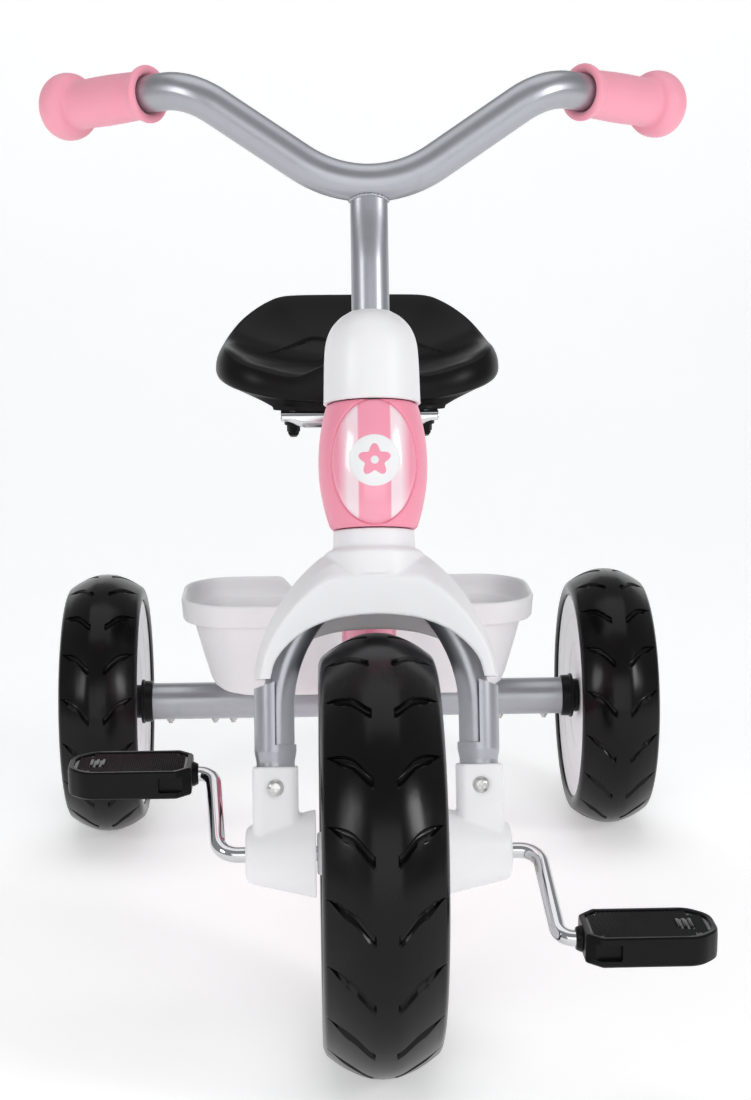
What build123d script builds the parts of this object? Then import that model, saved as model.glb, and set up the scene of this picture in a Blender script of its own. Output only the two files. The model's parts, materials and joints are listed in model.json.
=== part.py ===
"""A child's pedal tricycle, in millimetres.

Origin: on the floor, at the centre of the footprint.  +Z up, the front faces -Y,
and the rider's left is +X.  The steering parts are drawn along a raked axis that
passes through the front axle: there x is to the left, y is backwards and s is the
distance up the steering axis from the front axle.
"""
from build123d import *
from math import cos, radians, sin
import os

# Wheels and wheelbase
front_wheel_radius = 125.0
front_wheel_half_width = 33.0
rear_wheel_radius = 100.0
rear_wheel_half_width = 29.0
rear_wheel_x = 195.0
wheelbase = 437.0
front_rim_radius = 100.0
rear_rim_radius = 80.0
rim_recess = 8.0
rim_wall = 3.0
rim_band = 4.0
hub_radius = 18.0
hub_nose_radius = 12.0
hub_pocket_radius = 14.0
hub_pocket_x = 13.0
hub_cap_radius = 24.0
drive_pin_radius = 2.5
drive_pin_half_length = 12.0

front_axle_y = -(wheelbase + rear_wheel_radius - front_wheel_radius) / 2
rear_axle_y = front_axle_y + wheelbase

# Steering column: distances s are measured along the raked axis
rake = 15.0
steerer_radius = 12.7
steerer_bottom = 140.0
steerer_top = 288.0
head_radius = 18.0
head_bottom = 188.0
head_top = 254.0
cover_bottom = 184.3
cover_top = 256.5
badge_centre = 221.0
badge_half_width = 24.0
badge_half_height = 35.0
badge_depth = 1.6
cap_bottom = 257.0
cap_shoulder = 286.0
cap_top = 311.0
bush_radius = 15.5
bush_length = 14.0
bush_flange = 2.0
running_gap = 0.05
stem_bolt_height = 276.0
stem_bolt_radius = 3.0

# Handlebar
bar_radius = 11.1
bar_wall = 1.8
stem_radius = 11.0
stem_bottom = 195.0
bar_height = 389.3
bar_vertex_drop = 16.5
bar_centre_radius = 70.0
bar_bend_x = 105.0
bar_bend_rise = 55.5
bar_bend_radius = 45.0
grip_sweep = 38.0
grip_droop = 5.0
grip_start = 29.0
grip_length = 80.0
grip_end = 8.0

# Fork
fork_leg_x = 58.0
fork_tube_x = 56.0
fork_tube_radius = 9.0
fork_bend_start = 82.0
fork_bend_radius = 85.0
sleeve_radius = 12.0
sleeve_bore = 10.2
sleeve_neck = 10.9
sleeve_top = 98.0
sleeve_bottom = 24.0
wall = 1.8
fender_half_depth = 27.0
fender_wall = 2.4
fender_ceiling = 171.0
fender_end = 99.0
fender_half_width = 70.5
fender_screw_height = 151.0
neck_radius = 23.4
neck_top = 183.8
neck_bore = steerer_radius + 0.3
fork_cover_inner_x = 35.5
fork_cover_outer_x = 75.5
fork_cover_top = 49.7
fork_cover_half_depth = 14.0
fork_screw_height = 38.0
small_screw_radius = 2.0

# Cranks and pedals: the rider's left crank points forward and down at rest
crank_radius = 4.5
crank_forward = 60.0
crank_down = 30.0
crank_elbow_x = 91.0
pedal_elbow_x = 96.0
spindle_end_x = 178.0
pedal_inner_x = 108.0
pedal_outer_x = 181.0
pedal_half_depth = 23.0
pedal_half_height = 9.0
crank_bush_radius = 8.0

# Frame
main_tube_radius = 17.5
main_tube_height = 96.5
main_tube_bend_y = 235.0
main_tube_bend_radius = 100.0
main_tube_start = 228.0
axle_tube_radius = 14.3
axle_tube_half_length = 160.0
axle_rod_radius = 5.0
axle_rod_half_length = 215.0
axle_spigot_radius = axle_tube_radius - 1.7
collar_flange_radius = 17.5
collar_end_radius = 13.0
collar_end_x = 173.5
nut_start_x = 208.5
nut_thickness = 6.5

# Seat and its post
seat_post_radius = 14.0
seat_post_foot_y = front_axle_y + 334.0
seat_post_top_y = front_axle_y + 372.0
seat_bottom = 340.0
seat_top = 416.0
seat_front = front_axle_y + 318.0
seat_back = front_axle_y + 464.0
seat_half_width = 103.5
seat_foot_half_width = 56.0
seat_plate_thickness = 4.0
seat_plate_width = 112.0
seat_plate_depth = 98.0
seat_bolt_radius = 3.0
seat_bolt_x = 47.0
seat_bolt_ys = (front_axle_y + 330.0, front_axle_y + 408.0)
spacer_height = 6.0

# Basket
basket_bottom = 116.3
basket_shelf = 167.5
basket_top = 188.5
basket_wall = 2.5
basket_half_width = 135.0
basket_half_depth = 57.5
basket_centre_y = front_axle_y + 432.5
basket_dip = 15.0
basket_screw_x = 50.0
strap_width = 120.0
strap_depth = 26.0

STEERING = Plane(
    origin=(0, front_axle_y, front_wheel_radius),
    x_dir=(1, 0, 0),
    z_dir=(0, sin(radians(rake)), cos(radians(rake))),
)


def save(name, shape):
    export_step(shape, f"parts/{name}.step")


def group(shapes):
    return Compound(children=list(shapes))


def on_column(shape):
    """Move a shape drawn along +Z onto the raked steering axis."""
    return STEERING.location * shape


def rod(start, end, radius):
    start = Vector(*start)
    end = Vector(*end)
    plane = Plane(origin=start, z_dir=end - start)
    return extrude(plane * Circle(radius), amount=(end - start).length)


def ring(inner, outer, low, high):
    """A plain ring about Z."""
    sketch = Circle(outer) - Circle(inner)
    return Pos(0, 0, low) * extrude(sketch, amount=high - low)


def turned_about_z(edges):
    return revolve(make_face(edges), axis=Axis.Z)


def turned_about_x(points):
    """Turn an outline of (x, radius) points about X."""
    outline = Polyline(*[(x, 0, radius) for x, radius in points], close=True)
    return revolve(make_face(outline), axis=Axis.X)


def pipe(path, radius):
    section = Plane(origin=path @ 0, z_dir=path % 0) * Circle(radius)
    return sweep(section, path=path)


def mirrored(shape):
    return mirror(shape, about=Plane.YZ)


# ---------------------------------------------------------------- wheels
def tyre(radius, half_width, rim_radius):
    """A solid foam tyre: a slightly peaked crown, round shoulders and flat sides."""
    shoulder_x = half_width * 0.82
    shoulder_r = radius * 0.92
    side_r = radius * 0.83
    bead_x = half_width - 2.0
    crown = (0, 0, radius)
    crown_via = (shoulder_x * 0.55, 0, radius * 0.968)
    shoulder = (shoulder_x, 0, shoulder_r)
    shoulder_via = (half_width * 0.96, 0, radius * 0.884)
    side = (half_width, 0, side_r)
    right = [
        ThreePointArc(crown, crown_via, shoulder),
        ThreePointArc(shoulder, shoulder_via, side),
        Line(side, (bead_x, 0, rim_radius)),
    ]
    left = [mirrored(edge) for edge in right]
    base = Line((bead_x, 0, rim_radius), (-bead_x, 0, rim_radius))
    return revolve(make_face(right + [base] + left), axis=Axis.X)


def rim_half(rim_radius, face_x, bore):
    """One moulded half of a wheel: disc, band and hub, meeting the other half at x = 0."""
    outline = [
        (0, bore),
        (face_x, bore),
        (face_x, rim_radius),
        (0, rim_radius),
        (0, rim_radius - rim_band),
        (face_x - rim_wall, rim_radius - rim_band),
        (face_x - rim_wall, hub_radius),
        (0, hub_radius),
    ]
    return turned_about_x(outline)


def build_front_wheel():
    centre = Pos(0, front_axle_y, front_wheel_radius)
    body = tyre(front_wheel_radius, front_wheel_half_width, front_rim_radius)
    save("front_tyre", centre * body)
    pin = rod((0, 0, -drive_pin_half_length), (0, 0, drive_pin_half_length), drive_pin_radius)
    save("drive_pin", centre * pin)
    face_x = front_wheel_half_width - rim_recess
    nose_ends = ((face_x, 0, 0), (fork_cover_inner_x - 0.6, 0, 0))
    nose = rod(*nose_ends, hub_nose_radius) - rod(*nose_ends, crank_radius)
    half = rim_half(front_rim_radius, face_x, crank_radius) + nose - pin
    save("left_front_rim", centre * half)
    save("right_front_rim", centre * mirrored(half))
    save("crank_axle", centre * (crank_shape() - pin))


def hub_cap_shape(face_x):
    """A low dome over the hub, with a short collar that plugs into the pocket."""
    dome_rise = 6.0
    flat_radius = 5.0
    plug_depth = 5.0
    plug_radius = hub_pocket_radius - 2.0
    edge = (face_x, 0, hub_cap_radius)
    crest = (face_x + dome_rise, 0, flat_radius)
    dome = ThreePointArc(edge, (face_x + 4.4, 0, 16.0), crest)
    back = Polyline(
        crest,
        (face_x + dome_rise, 0, 0),
        (face_x, 0, 0),
        (face_x, 0, plug_radius),
        (face_x - plug_depth, 0, plug_radius),
        (face_x - plug_depth, 0, hub_pocket_radius),
        (face_x, 0, hub_pocket_radius),
        edge,
    )
    return revolve(make_face([dome, back]), axis=Axis.X)


def build_rear_wheels():
    face_x = rear_wheel_half_width - rim_recess
    bore = axle_rod_radius + running_gap
    inner_half = mirrored(rim_half(rear_rim_radius, face_x, bore))
    pocket = rod((hub_pocket_x, 0, 0), (face_x + 1, 0, 0), hub_pocket_radius)
    outer_half = rim_half(rear_rim_radius, face_x, bore) - pocket
    pieces = {
        "rear_tyre": tyre(rear_wheel_radius, rear_wheel_half_width, rear_rim_radius),
        "rear_rim_inner": inner_half,
        "rear_rim_outer": outer_half,
        "hub_cap": hub_cap_shape(face_x),
    }
    for name, piece in pieces.items():
        left = Pos(rear_wheel_x, rear_axle_y, rear_wheel_radius) * piece
        save("left_" + name, left)
        save("right_" + name, mirrored(left))


# ---------------------------------------------------------------- cranks and pedals
def crank_shape():
    """One bent rod: both cranks, both pedal spindles and the front axle."""
    points = [
        (spindle_end_x, -crank_forward, -crank_down),
        (pedal_elbow_x, -crank_forward, -crank_down),
        (crank_elbow_x, 0, 0),
        (-crank_elbow_x, 0, 0),
        (-pedal_elbow_x, crank_forward, crank_down),
        (-spindle_end_x, crank_forward, crank_down),
    ]
    return pipe(FilletPolyline(*points, radius=[9.0, 12.0, 12.0, 9.0]), crank_radius)


def pedal_plan(inset):
    """The pedal from above: chamfered near the crank, rounded at the outer end."""
    chamfer_size = 8.0 - inset * 0.4
    low = pedal_inner_x + inset
    high = pedal_outer_x - inset
    depth = pedal_half_depth - inset
    round_start = high - 14.0
    end_via = (high - 4.5, depth * 0.72)
    outline = [
        Polyline(
            (round_start, depth),
            (low + chamfer_size, depth),
            (low, depth - chamfer_size),
            (low, -depth + chamfer_size),
            (low + chamfer_size, -depth),
            (round_start, -depth),
        ),
        ThreePointArc((round_start, -depth), (end_via[0], -end_via[1]), (high, 0)),
        ThreePointArc((high, 0), end_via, (round_start, depth)),
    ]
    return make_face(outline)


def build_pedals():
    rim_inset = 3.0
    pocket_depth = 2.5
    pad_height = 1.9
    collar_radius = 7.5
    collar_length = 4.0
    spindle = rod((0, 0, 0), (spindle_end_x + 0.5, 0, 0), crank_radius + running_gap)
    body = extrude(pedal_plan(0), amount=pedal_half_height, both=True)
    pads = []
    for side in (1, -1):
        floor = side * (pedal_half_height - pocket_depth)
        pocket = Pos(0, 0, floor) * extrude(pedal_plan(rim_inset), amount=side * 5.0)
        body -= pocket
        pads.append(Pos(0, 0, floor) * extrude(pedal_plan(rim_inset), amount=side * pad_height))
    body -= spindle
    collar = rod((pedal_inner_x - collar_length, 0, 0), (pedal_inner_x, 0, 0), collar_radius) - spindle
    for side, place in (("left", -1), ("right", 1)):
        offset = Pos(0, front_axle_y + place * crank_forward, front_wheel_radius + place * crank_down)
        for name, piece in (("body", body), ("treads", group(pads)), ("collar", collar)):
            shape = piece if side == "left" else mirrored(piece)
            save(f"{side}_pedal_{name}", offset * shape)


# ---------------------------------------------------------------- head and column
def barrel(growth):
    """The swelling outside of the head cover, moved out by growth."""
    middle = (31.5 + growth, 0, 222.0)
    low = (24.8 + growth, 0, cover_bottom)
    high = (26.4 + growth, 0, cover_top)
    sides = Polyline(high, (0, 0, cover_top), (0, 0, cover_bottom), low)
    return turned_about_z([ThreePointArc(low, middle, high), sides])


def oval(half_width, half_height):
    """A forward-facing oval prism, from the column's axis to beyond the front of the head."""
    plane = Plane(origin=(0, 0, badge_centre), x_dir=(1, 0, 0), z_dir=(0, -1, 0))
    return extrude(plane * Ellipse(half_width, half_height), amount=60.0)


def main_tube_path():
    head = STEERING.from_local_coords(Vector(0, 0, main_tube_start))
    bend_y = front_axle_y + main_tube_bend_y
    return FilletPolyline(
        head,
        (0, bend_y, main_tube_height),
        (0, rear_axle_y - 4.0, main_tube_height),
        radius=main_tube_bend_radius,
    )


def column_bolt(start_y, end_y, height, radius):
    """A round bar across the column, along y."""
    return rod((0, start_y, height), (0, end_y, height), radius)


def build_head_cover():
    groove = 0.5
    main_tube = pipe(main_tube_path(), main_tube_radius)
    bore = rod((0, 0, cover_bottom - 1), (0, 0, cover_top + 1), head_radius)
    pocket = oval(badge_half_width + groove, badge_half_height + groove) - barrel(-badge_depth)
    cover = barrel(0) - bore - pocket
    save("head_cover", on_column(cover) - main_tube)
    badge = (oval(badge_half_width, badge_half_height) & barrel(groove)) - barrel(-badge_depth)
    save("head_badge", on_column(badge))


def build_head_bearing():
    """The head tube with a flanged nylon bush at each end."""
    save("head_tube", on_column(ring(bush_radius, head_radius, head_bottom, head_top)))
    bore = steerer_radius + running_gap
    flange_radius = head_radius - 0.5
    lower = ring(bore, bush_radius, head_bottom, head_bottom + bush_length)
    lower += ring(bore, flange_radius, head_bottom - bush_flange, head_bottom)
    save("lower_head_bush", on_column(lower))
    upper = ring(bore, bush_radius, head_top - bush_length, head_top)
    upper += ring(bore, flange_radius, head_top, head_top + bush_flange)
    save("upper_head_bush", on_column(upper))


def build_steering():
    """The column's tubes, with the cross bolt that clamps the stem and the fender's screw."""
    bolt_hole = column_bolt(-20, 40, stem_bolt_height, stem_bolt_radius)
    fender_hole = column_bolt(8, 40, fender_screw_height, small_screw_radius)
    steerer = ring(bar_radius, steerer_radius, steerer_bottom, steerer_top)
    save("steerer_tube", on_column(steerer - bolt_hole - fender_hole))
    bar = pipe(bar_path(), bar_radius)
    stem = on_column(ring(stem_radius - bar_wall, stem_radius, stem_bottom, bar_height))
    stem = stem - bar - on_column(bolt_hole)
    save("stem_tube", stem.solids().sort_by(SortBy.VOLUME)[-1])
    save("handlebar_tube", bar - pipe(bar_path(), bar_radius - bar_wall))
    save("steering_cap", on_column(cap_shape() - bolt_hole))
    save("fender", on_column(fender_shape() - fender_hole))

    shank_end = 27.9
    nut_start = -12.8
    bolt = column_bolt(-19, shank_end, stem_bolt_height, stem_bolt_radius)
    bolt += column_bolt(shank_end, shank_end + 3.6, stem_bolt_height, 5.5)
    save("stem_bolt", on_column(bolt))
    nut_plane = Plane(origin=(0, nut_start, stem_bolt_height), x_dir=(1, 0, 0), z_dir=(0, -1, 0))
    nut = extrude(nut_plane * RegularPolygon(5.0, 6, major_radius=False), amount=5.0)
    save("stem_nut", on_column(nut - bolt_hole))

    screw = column_bolt(11.5, fender_half_depth, fender_screw_height, small_screw_radius)
    screw += column_bolt(fender_half_depth, fender_half_depth + 2.2, fender_screw_height, 4.0)
    save("fender_screw", on_column(screw))


def cap_shape():
    """The bullet-shaped cap that hides the stem clamp."""
    rim = (28.2, 0, cap_bottom)
    shoulder = (27.3, 0, cap_shoulder)
    bore = bar_radius + running_gap
    top = (bore + 1.0, 0, cap_top)
    edges = [
        Line(rim, shoulder),
        ThreePointArc(shoulder, (22.6, 0, 302.0), top),
        Polyline(
            top,
            (bore, 0, cap_top),
            (bore, 0, cap_shoulder + 6),
            (24.3, 0, cap_shoulder - 2),
            (25.0, 0, cap_bottom),
            rim,
        ),
    ]
    return turned_about_z(edges)


# ---------------------------------------------------------------- handlebar and grips
def bar_bend_point(side):
    return STEERING.from_local_coords(Vector(side * bar_bend_x, 0, bar_height + bar_bend_rise))


def grip_direction(side):
    sweep_angle = radians(grip_sweep)
    droop = radians(grip_droop)
    return Vector(side * cos(sweep_angle) * cos(droop), sin(sweep_angle) * cos(droop), -sin(droop))


def bar_path():
    tube_end = grip_start + grip_length - grip_end
    vertex = STEERING.from_local_coords(Vector(0, 0, bar_height - bar_vertex_drop))
    points = [bar_bend_point(1) + grip_direction(1) * tube_end, bar_bend_point(1), vertex]
    points += [bar_bend_point(-1), bar_bend_point(-1) + grip_direction(-1) * tube_end]
    return FilletPolyline(*points, radius=[bar_bend_radius, bar_centre_radius, bar_bend_radius])


def build_grips():
    """A rubber grip: a flange, a slim waist and a round knob at the end."""
    waist_radius = 13.5
    waist_start = (waist_radius, 0, 13.0)
    waist_end = (waist_radius + 0.3, 0, 42.0)
    knob = (20.5, 0, grip_length - 17.0)
    tip = (8.0, 0, grip_length)
    tube_stop = grip_length - grip_end
    edges = [
        Polyline((bar_radius, 0, 0), (16.0, 0, 0), (17.0, 0, 2.5), (15.5, 0, 7.0), waist_start),
        Line(waist_start, waist_end),
        ThreePointArc(waist_end, (16.5, 0, 51.5), knob),
        ThreePointArc(knob, (17.0, 0, grip_length - 5.0), tip),
        Polyline(tip, (0, 0, grip_length), (0, 0, tube_stop), (bar_radius, 0, tube_stop)),
        Line((bar_radius, 0, tube_stop), (bar_radius, 0, 0)),
    ]
    shape = turned_about_z(edges)
    for name, side in (("left_grip", 1), ("right_grip", -1)):
        direction = grip_direction(side)
        origin = bar_bend_point(side) + direction * grip_start
        save(name, Plane(origin=origin, z_dir=direction).location * shape)


# ---------------------------------------------------------------- fork
def fender_shape():
    """A hollow shroud over the fork crown, open below, with a neck round the column."""
    arch_end_x = 60.0
    lower_arch = [(-arch_end_x, fender_end), (-57.5, 109), (-47, 121), (-32, 129.5), (0, 134.6)]
    lower_arch += [(-x, s) for x, s in reversed(lower_arch[:-1])]
    shoulder_x = 27.0
    edge_rounding = 7.0
    collar_radius = 28.5
    front = Plane(origin=(0, fender_half_depth, 0), x_dir=(1, 0, 0), z_dir=(0, -1, 0))

    def block(inset, opening):
        edge_x = fender_half_width - inset
        top = fender_ceiling - inset
        via_x = 50.0 - inset * 0.7
        via_s = 149.0 - inset * 0.7
        outline = [
            Line((-shoulder_x, top), (shoulder_x, top)),
            ThreePointArc((shoulder_x, top), (via_x, via_s), (edge_x, fender_end)),
            ThreePointArc((-edge_x, fender_end), (-via_x, via_s), (-shoulder_x, top)),
        ]
        if opening:
            outline += [
                Line((edge_x, fender_end), (arch_end_x, fender_end)),
                Spline(*lower_arch),
                Line((-arch_end_x, fender_end), (-edge_x, fender_end)),
            ]
        else:
            outline += [Line((edge_x, fender_end), (-edge_x, fender_end))]
        depth = 2 * (fender_half_depth - inset)
        start = front.offset(inset)
        return extrude(start * make_face(outline), amount=depth)

    outside = block(0, True)
    edges = outside.edges().filter_by(GeomType.CIRCLE).filter_by(
        lambda edge: abs(abs((edge @ 0.5).Y) - fender_half_depth) < 0.1
    )
    outside = fillet(edges, edge_rounding)
    inside = block(fender_wall, False)
    neck = turned_about_z(
        Polyline(
            (neck_bore, 0, fender_ceiling - fender_wall),
            (collar_radius, 0, fender_ceiling - fender_wall),
            (collar_radius, 0, fender_ceiling),
            (collar_radius - 2.0, 0, fender_ceiling + 1.5),
            (neck_radius, 0, fender_ceiling + 2.0),
            (neck_radius, 0, neck_top),
            (neck_bore, 0, neck_top),
            close=True,
        )
    )
    bore = rod((0, 0, fender_end), (0, 0, neck_top + 1), neck_bore)
    return outside - inside + neck - bore


def fork_tube():
    """One crown tube, straight in the leg and bent in to the steerer."""
    turn = radians(66.0)
    middle = turn / 2
    bottom = 63.0

    def on_bend(angle):
        x = fork_tube_x - fork_bend_radius * (1 - cos(angle))
        return (x, 0, fork_bend_start + fork_bend_radius * sin(angle))

    straight = Line((fork_tube_x, 0, bottom), (fork_tube_x, 0, fork_bend_start))
    bend = ThreePointArc(on_bend(0), on_bend(middle), on_bend(turn))
    path = Wire([straight, bend])
    tube = pipe(path, fork_tube_radius) - pipe(path, fork_tube_radius - wall)
    return tube - rod((0, 0, 100.0), (0, 0, 200.0), steerer_radius)


def fork_sleeve():
    """The leg's lower tube: its inner half is cut away where the crown tube lies in it."""
    cut_bottom = 62.0
    swage_low = 52.0
    swage_high = 58.0
    edges = Polyline(
        (sleeve_neck - wall, 0, sleeve_bottom),
        (sleeve_neck, 0, sleeve_bottom),
        (sleeve_neck, 0, swage_low),
        (sleeve_radius, 0, swage_high),
        (sleeve_radius, 0, sleeve_top),
        (sleeve_bore, 0, sleeve_top),
        (sleeve_bore, 0, swage_high),
        (sleeve_neck - wall, 0, swage_low),
        close=True,
    )
    tube = turned_about_z(edges)
    window = Pos(-15, 0, cut_bottom + 25) * Box(30, 40, 50)
    slant = Pos(0, 0, sleeve_top + 6.0) * Rot(0, 18, 0) * Box(60, 60, 12)
    return Pos(fork_leg_x, 0, 0) * (tube - window - slant)


def fork_cover():
    """The white moulding over the foot of one leg, with a tapering boss round the axle."""
    block_x = fork_leg_x + 0.2
    block_half = 13.0
    height = fork_cover_top
    block = Pos(block_x, 0, height / 2) * Box(2 * block_half, 2 * fork_cover_half_depth, height)
    block = fillet(block.edges().filter_by(Axis.Z), 5.0)
    boss = turned_about_x(
        [
            (fork_cover_inner_x, 0),
            (fork_cover_inner_x, 25.0),
            (fork_cover_outer_x - 4.0, 16.8),
            (fork_cover_outer_x - 1.0, 15.4),
            (fork_cover_outer_x, 12.5),
            (fork_cover_outer_x, 0),
        ]
    )
    cover = block + boss
    socket = rod((fork_leg_x, 0, sleeve_bottom), (fork_leg_x, 0, height + 1), sleeve_neck)
    bush = rod((fork_cover_inner_x - 1, 0, 0), (fork_cover_outer_x + 1, 0, 0), crank_bush_radius)
    return cover - socket - bush


def fork_bolt(start_y, end_y, radius):
    """A round bar through the foot of the left leg, along y."""
    return rod((fork_leg_x, start_y, fork_screw_height), (fork_leg_x, end_y, fork_screw_height), radius)


def build_fork():
    depth = fork_cover_half_depth
    shank_radius = 2.2
    seat_depth = 1.0
    screw_hole = fork_bolt(-depth - 3, depth + 3, shank_radius)
    seat = fork_bolt(-depth - 1, seat_depth - depth, 5.6)
    screw = fork_bolt(seat_depth - depth, depth - 2, shank_radius)
    screw += fork_bolt(-depth - 1.2, seat_depth - depth, 4.8)
    bush_ends = ((fork_cover_inner_x, 0, 0), (fork_cover_outer_x, 0, 0))
    pieces = {
        "fork_tube": fork_tube(),
        "fork_sleeve": fork_sleeve() - screw_hole,
        "fork_cover": fork_cover() - screw_hole - seat,
        "crank_bush": rod(*bush_ends, crank_bush_radius) - rod(*bush_ends, crank_radius + running_gap),
    }
    for name, piece in pieces.items():
        save("left_" + name, on_column(piece))
        save("right_" + name, on_column(mirrored(piece)))
    save("fork_cover_screws", on_column(group([screw, mirrored(screw)])))


# ---------------------------------------------------------------- frame
def on_axle(x_start, x_end, radius):
    """A round bar along the rear axle."""
    start = (x_start, rear_axle_y, rear_wheel_radius)
    end = (x_end, rear_axle_y, rear_wheel_radius)
    return rod(start, end, radius)


def build_frame():
    path = main_tube_path()
    head = on_column(rod((0, 0, head_bottom - 20), (0, 0, head_top + 20), head_radius))
    tube_end = axle_tube_half_length
    axle_tube = on_axle(-tube_end, tube_end, axle_tube_radius)
    main_tube = pipe(path, main_tube_radius) - pipe(path, main_tube_radius - wall)
    save("main_tube", main_tube - head - axle_tube)
    save("rear_axle_tube", axle_tube - on_axle(-tube_end, tube_end, axle_spigot_radius))
    save("rear_axle_rod", on_axle(-axle_rod_half_length, axle_rod_half_length, axle_rod_radius))

    flange_x = tube_end + 6.0
    flange_end_x = flange_x + 2.5
    collar = on_axle(tube_end - 15, tube_end, axle_spigot_radius)
    collar += on_axle(tube_end, flange_x, axle_tube_radius)
    collar += on_axle(flange_x, flange_end_x, collar_flange_radius)
    collar += on_axle(flange_end_x, collar_end_x, collar_end_radius)
    collar -= on_axle(tube_end - 16, collar_end_x + 1, axle_rod_radius)
    save("left_axle_collar", collar)
    save("right_axle_collar", mirrored(collar))

    nut_origin = (nut_start_x, rear_axle_y, rear_wheel_radius)
    nut_plane = Plane(origin=nut_origin, x_dir=(0, 1, 0), z_dir=(1, 0, 0))
    nut = extrude(nut_plane * RegularPolygon(8.5, 6, major_radius=False), amount=nut_thickness)
    nut -= on_axle(nut_start_x - 1, nut_start_x + nut_thickness + 1, axle_rod_radius)
    save("rear_axle_nuts", group([nut, mirrored(nut)]))

    head_z = rear_wheel_radius - axle_tube_radius - 0.6
    heads = []
    for side in (-1, 1):
        for distance in (98.0, 112.0, 147.0):
            head = Pos(side * distance, rear_axle_y, head_z) * Cylinder(3.0, 2.4)
            heads.append(head - axle_tube)
    save("axle_tube_screws", group(heads))


def build_seat():
    plate_bottom = seat_bottom - seat_plate_thickness
    plate_y = sum(seat_bolt_ys) / 2
    plate_box = Box(seat_plate_width, seat_plate_depth, seat_plate_thickness)
    plate = Pos(0, plate_y, plate_bottom + seat_plate_thickness / 2) * plate_box
    plate = fillet(plate.edges().filter_by(Axis.Z), 8.0)
    bolt_places = [(x, y) for x in (-seat_bolt_x, seat_bolt_x) for y in seat_bolt_ys]
    low = plate_bottom - 14
    high = seat_bottom + 6
    bolts = [rod((x, y, low), (x, y, high), seat_bolt_radius) for x, y in bolt_places]
    for bolt in bolts:
        plate -= bolt
    save("seat_bracket", plate)
    save("seat_bolts", group(bolts))

    nut_z = plate_bottom - spacer_height - 7.0
    spacers = []
    nuts = []
    for (x, y), bolt in zip(bolt_places, bolts):
        spacer = Pos(x, y, plate_bottom - spacer_height / 2) * Cylinder(6.5, spacer_height)
        spacers.append(spacer - bolt)
        hexagon = Plane(origin=(x, y, nut_z)) * RegularPolygon(4.6, 6, major_radius=False)
        dome = Pos(x, y, nut_z) * Cylinder(4.0, 4.0)
        nuts.append(extrude(hexagon, amount=7.0) + dome - bolt)
    save("seat_spacers", group(spacers))
    save("seat_cap_nuts", group(nuts))

    post_foot = (0, seat_post_foot_y, main_tube_height)
    post_top = (0, seat_post_top_y, seat_bottom)
    post = rod(post_foot, post_top, seat_post_radius) - rod(post_foot, post_top, seat_post_radius - wall)
    post -= Pos(0, plate_y, plate_bottom + 20) * Box(200, 200, 40)
    save("seat_post", post - pipe(main_tube_path(), main_tube_radius))

    seat = seat_shape()
    for bolt in bolts:
        seat -= bolt
    save("seat", seat)


def seat_side():
    """The seat from the side, as (y, z): a low nose, a dish and a raised back."""
    nose_top = (seat_front + 6, 360)
    pan = (seat_back - 84, 369)
    crest = (seat_back - 9, seat_top)
    rear = (seat_back, 385)
    foot_front = (seat_front + 4, seat_bottom)
    foot_back = (seat_back - 42, seat_bottom)
    return [
        Line(foot_front, foot_back),
        ThreePointArc(foot_back, (seat_back - 10, 352), rear),
        ThreePointArc(rear, (seat_back - 1, 407), crest),
        ThreePointArc(crest, (seat_back - 34, 388), pan),
        ThreePointArc(pan, (seat_front + 34, 366), nose_top),
        ThreePointArc(nose_top, (seat_front, 350), foot_front),
    ]


def seat_half_front(sign):
    """Half of the seat from the front, as (x, z): the wings fall away from the back's crest."""
    crest_x = sign * 55.0
    wing = (sign * seat_half_width, 366)
    flank = (sign * 80, 346.5)
    foot_x = sign * seat_foot_half_width
    return [
        Line((0, seat_top), (crest_x, seat_top)),
        ThreePointArc((crest_x, seat_top), (sign * 86, 398.5), wing),
        ThreePointArc(wing, (sign * 98.5, 355), flank),
        Line(flank, (foot_x, seat_bottom)),
        Line((foot_x, seat_bottom), (0, seat_bottom)),
    ]


def seat_half_plan(sign):
    """Half of the seat from above: widest a third of the way back."""
    nose = (sign * seat_foot_half_width, seat_front)
    wide = (sign * seat_half_width, seat_front + 66)
    tail = (sign * 66, seat_back)
    return [
        Line((0, seat_front), nose),
        ThreePointArc(nose, (sign * 94, seat_front + 24), wide),
        ThreePointArc(wide, (sign * 96, seat_back - 28), tail),
        Line(tail, (0, seat_back)),
    ]


def seat_shape():
    """A moulded saddle with a raised back: three silhouettes cut into each other."""
    side_plane = Plane(origin=(-120, 0, 0), x_dir=(0, 1, 0), z_dir=(1, 0, 0))
    from_side = extrude(side_plane * make_face(seat_side()), amount=240)
    front_plane = Plane(origin=(0, seat_back + 20, 0), x_dir=(1, 0, 0), z_dir=(0, -1, 0))
    front = make_face(seat_half_front(1) + seat_half_front(-1))
    from_front = extrude(front_plane * front, amount=200)
    plan = make_face(seat_half_plan(1) + seat_half_plan(-1))
    from_above = Pos(0, 0, seat_bottom - 10) * extrude(plan, amount=100)
    return from_side & from_front & from_above


def basket_layer(half_x, half_y, corner, height):
    return Pos(0, basket_centre_y, height) * RectangleRounded(2 * half_x, 2 * half_y, corner)


def basket_tub(inset):
    """The tapered tub and its stepped rim, drawn inset from the outside."""
    width = basket_half_width - inset
    depth = basket_half_depth - inset
    bottom = basket_layer(width - 43, depth - 10, 28 - inset, basket_bottom + inset)
    low = basket_layer(width - 32, depth - 8, 30 - inset, basket_bottom + 14)
    shelf = basket_layer(width - 13, depth - 5, 34 - inset, basket_shelf + inset)
    tub = loft([bottom, low]) + loft([low, shelf])
    band = basket_layer(width - 1, depth - 1, 38 - inset, basket_shelf + inset)
    top = basket_layer(width, depth, 39 - inset, basket_top)
    return tub + loft([band, top])


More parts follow.
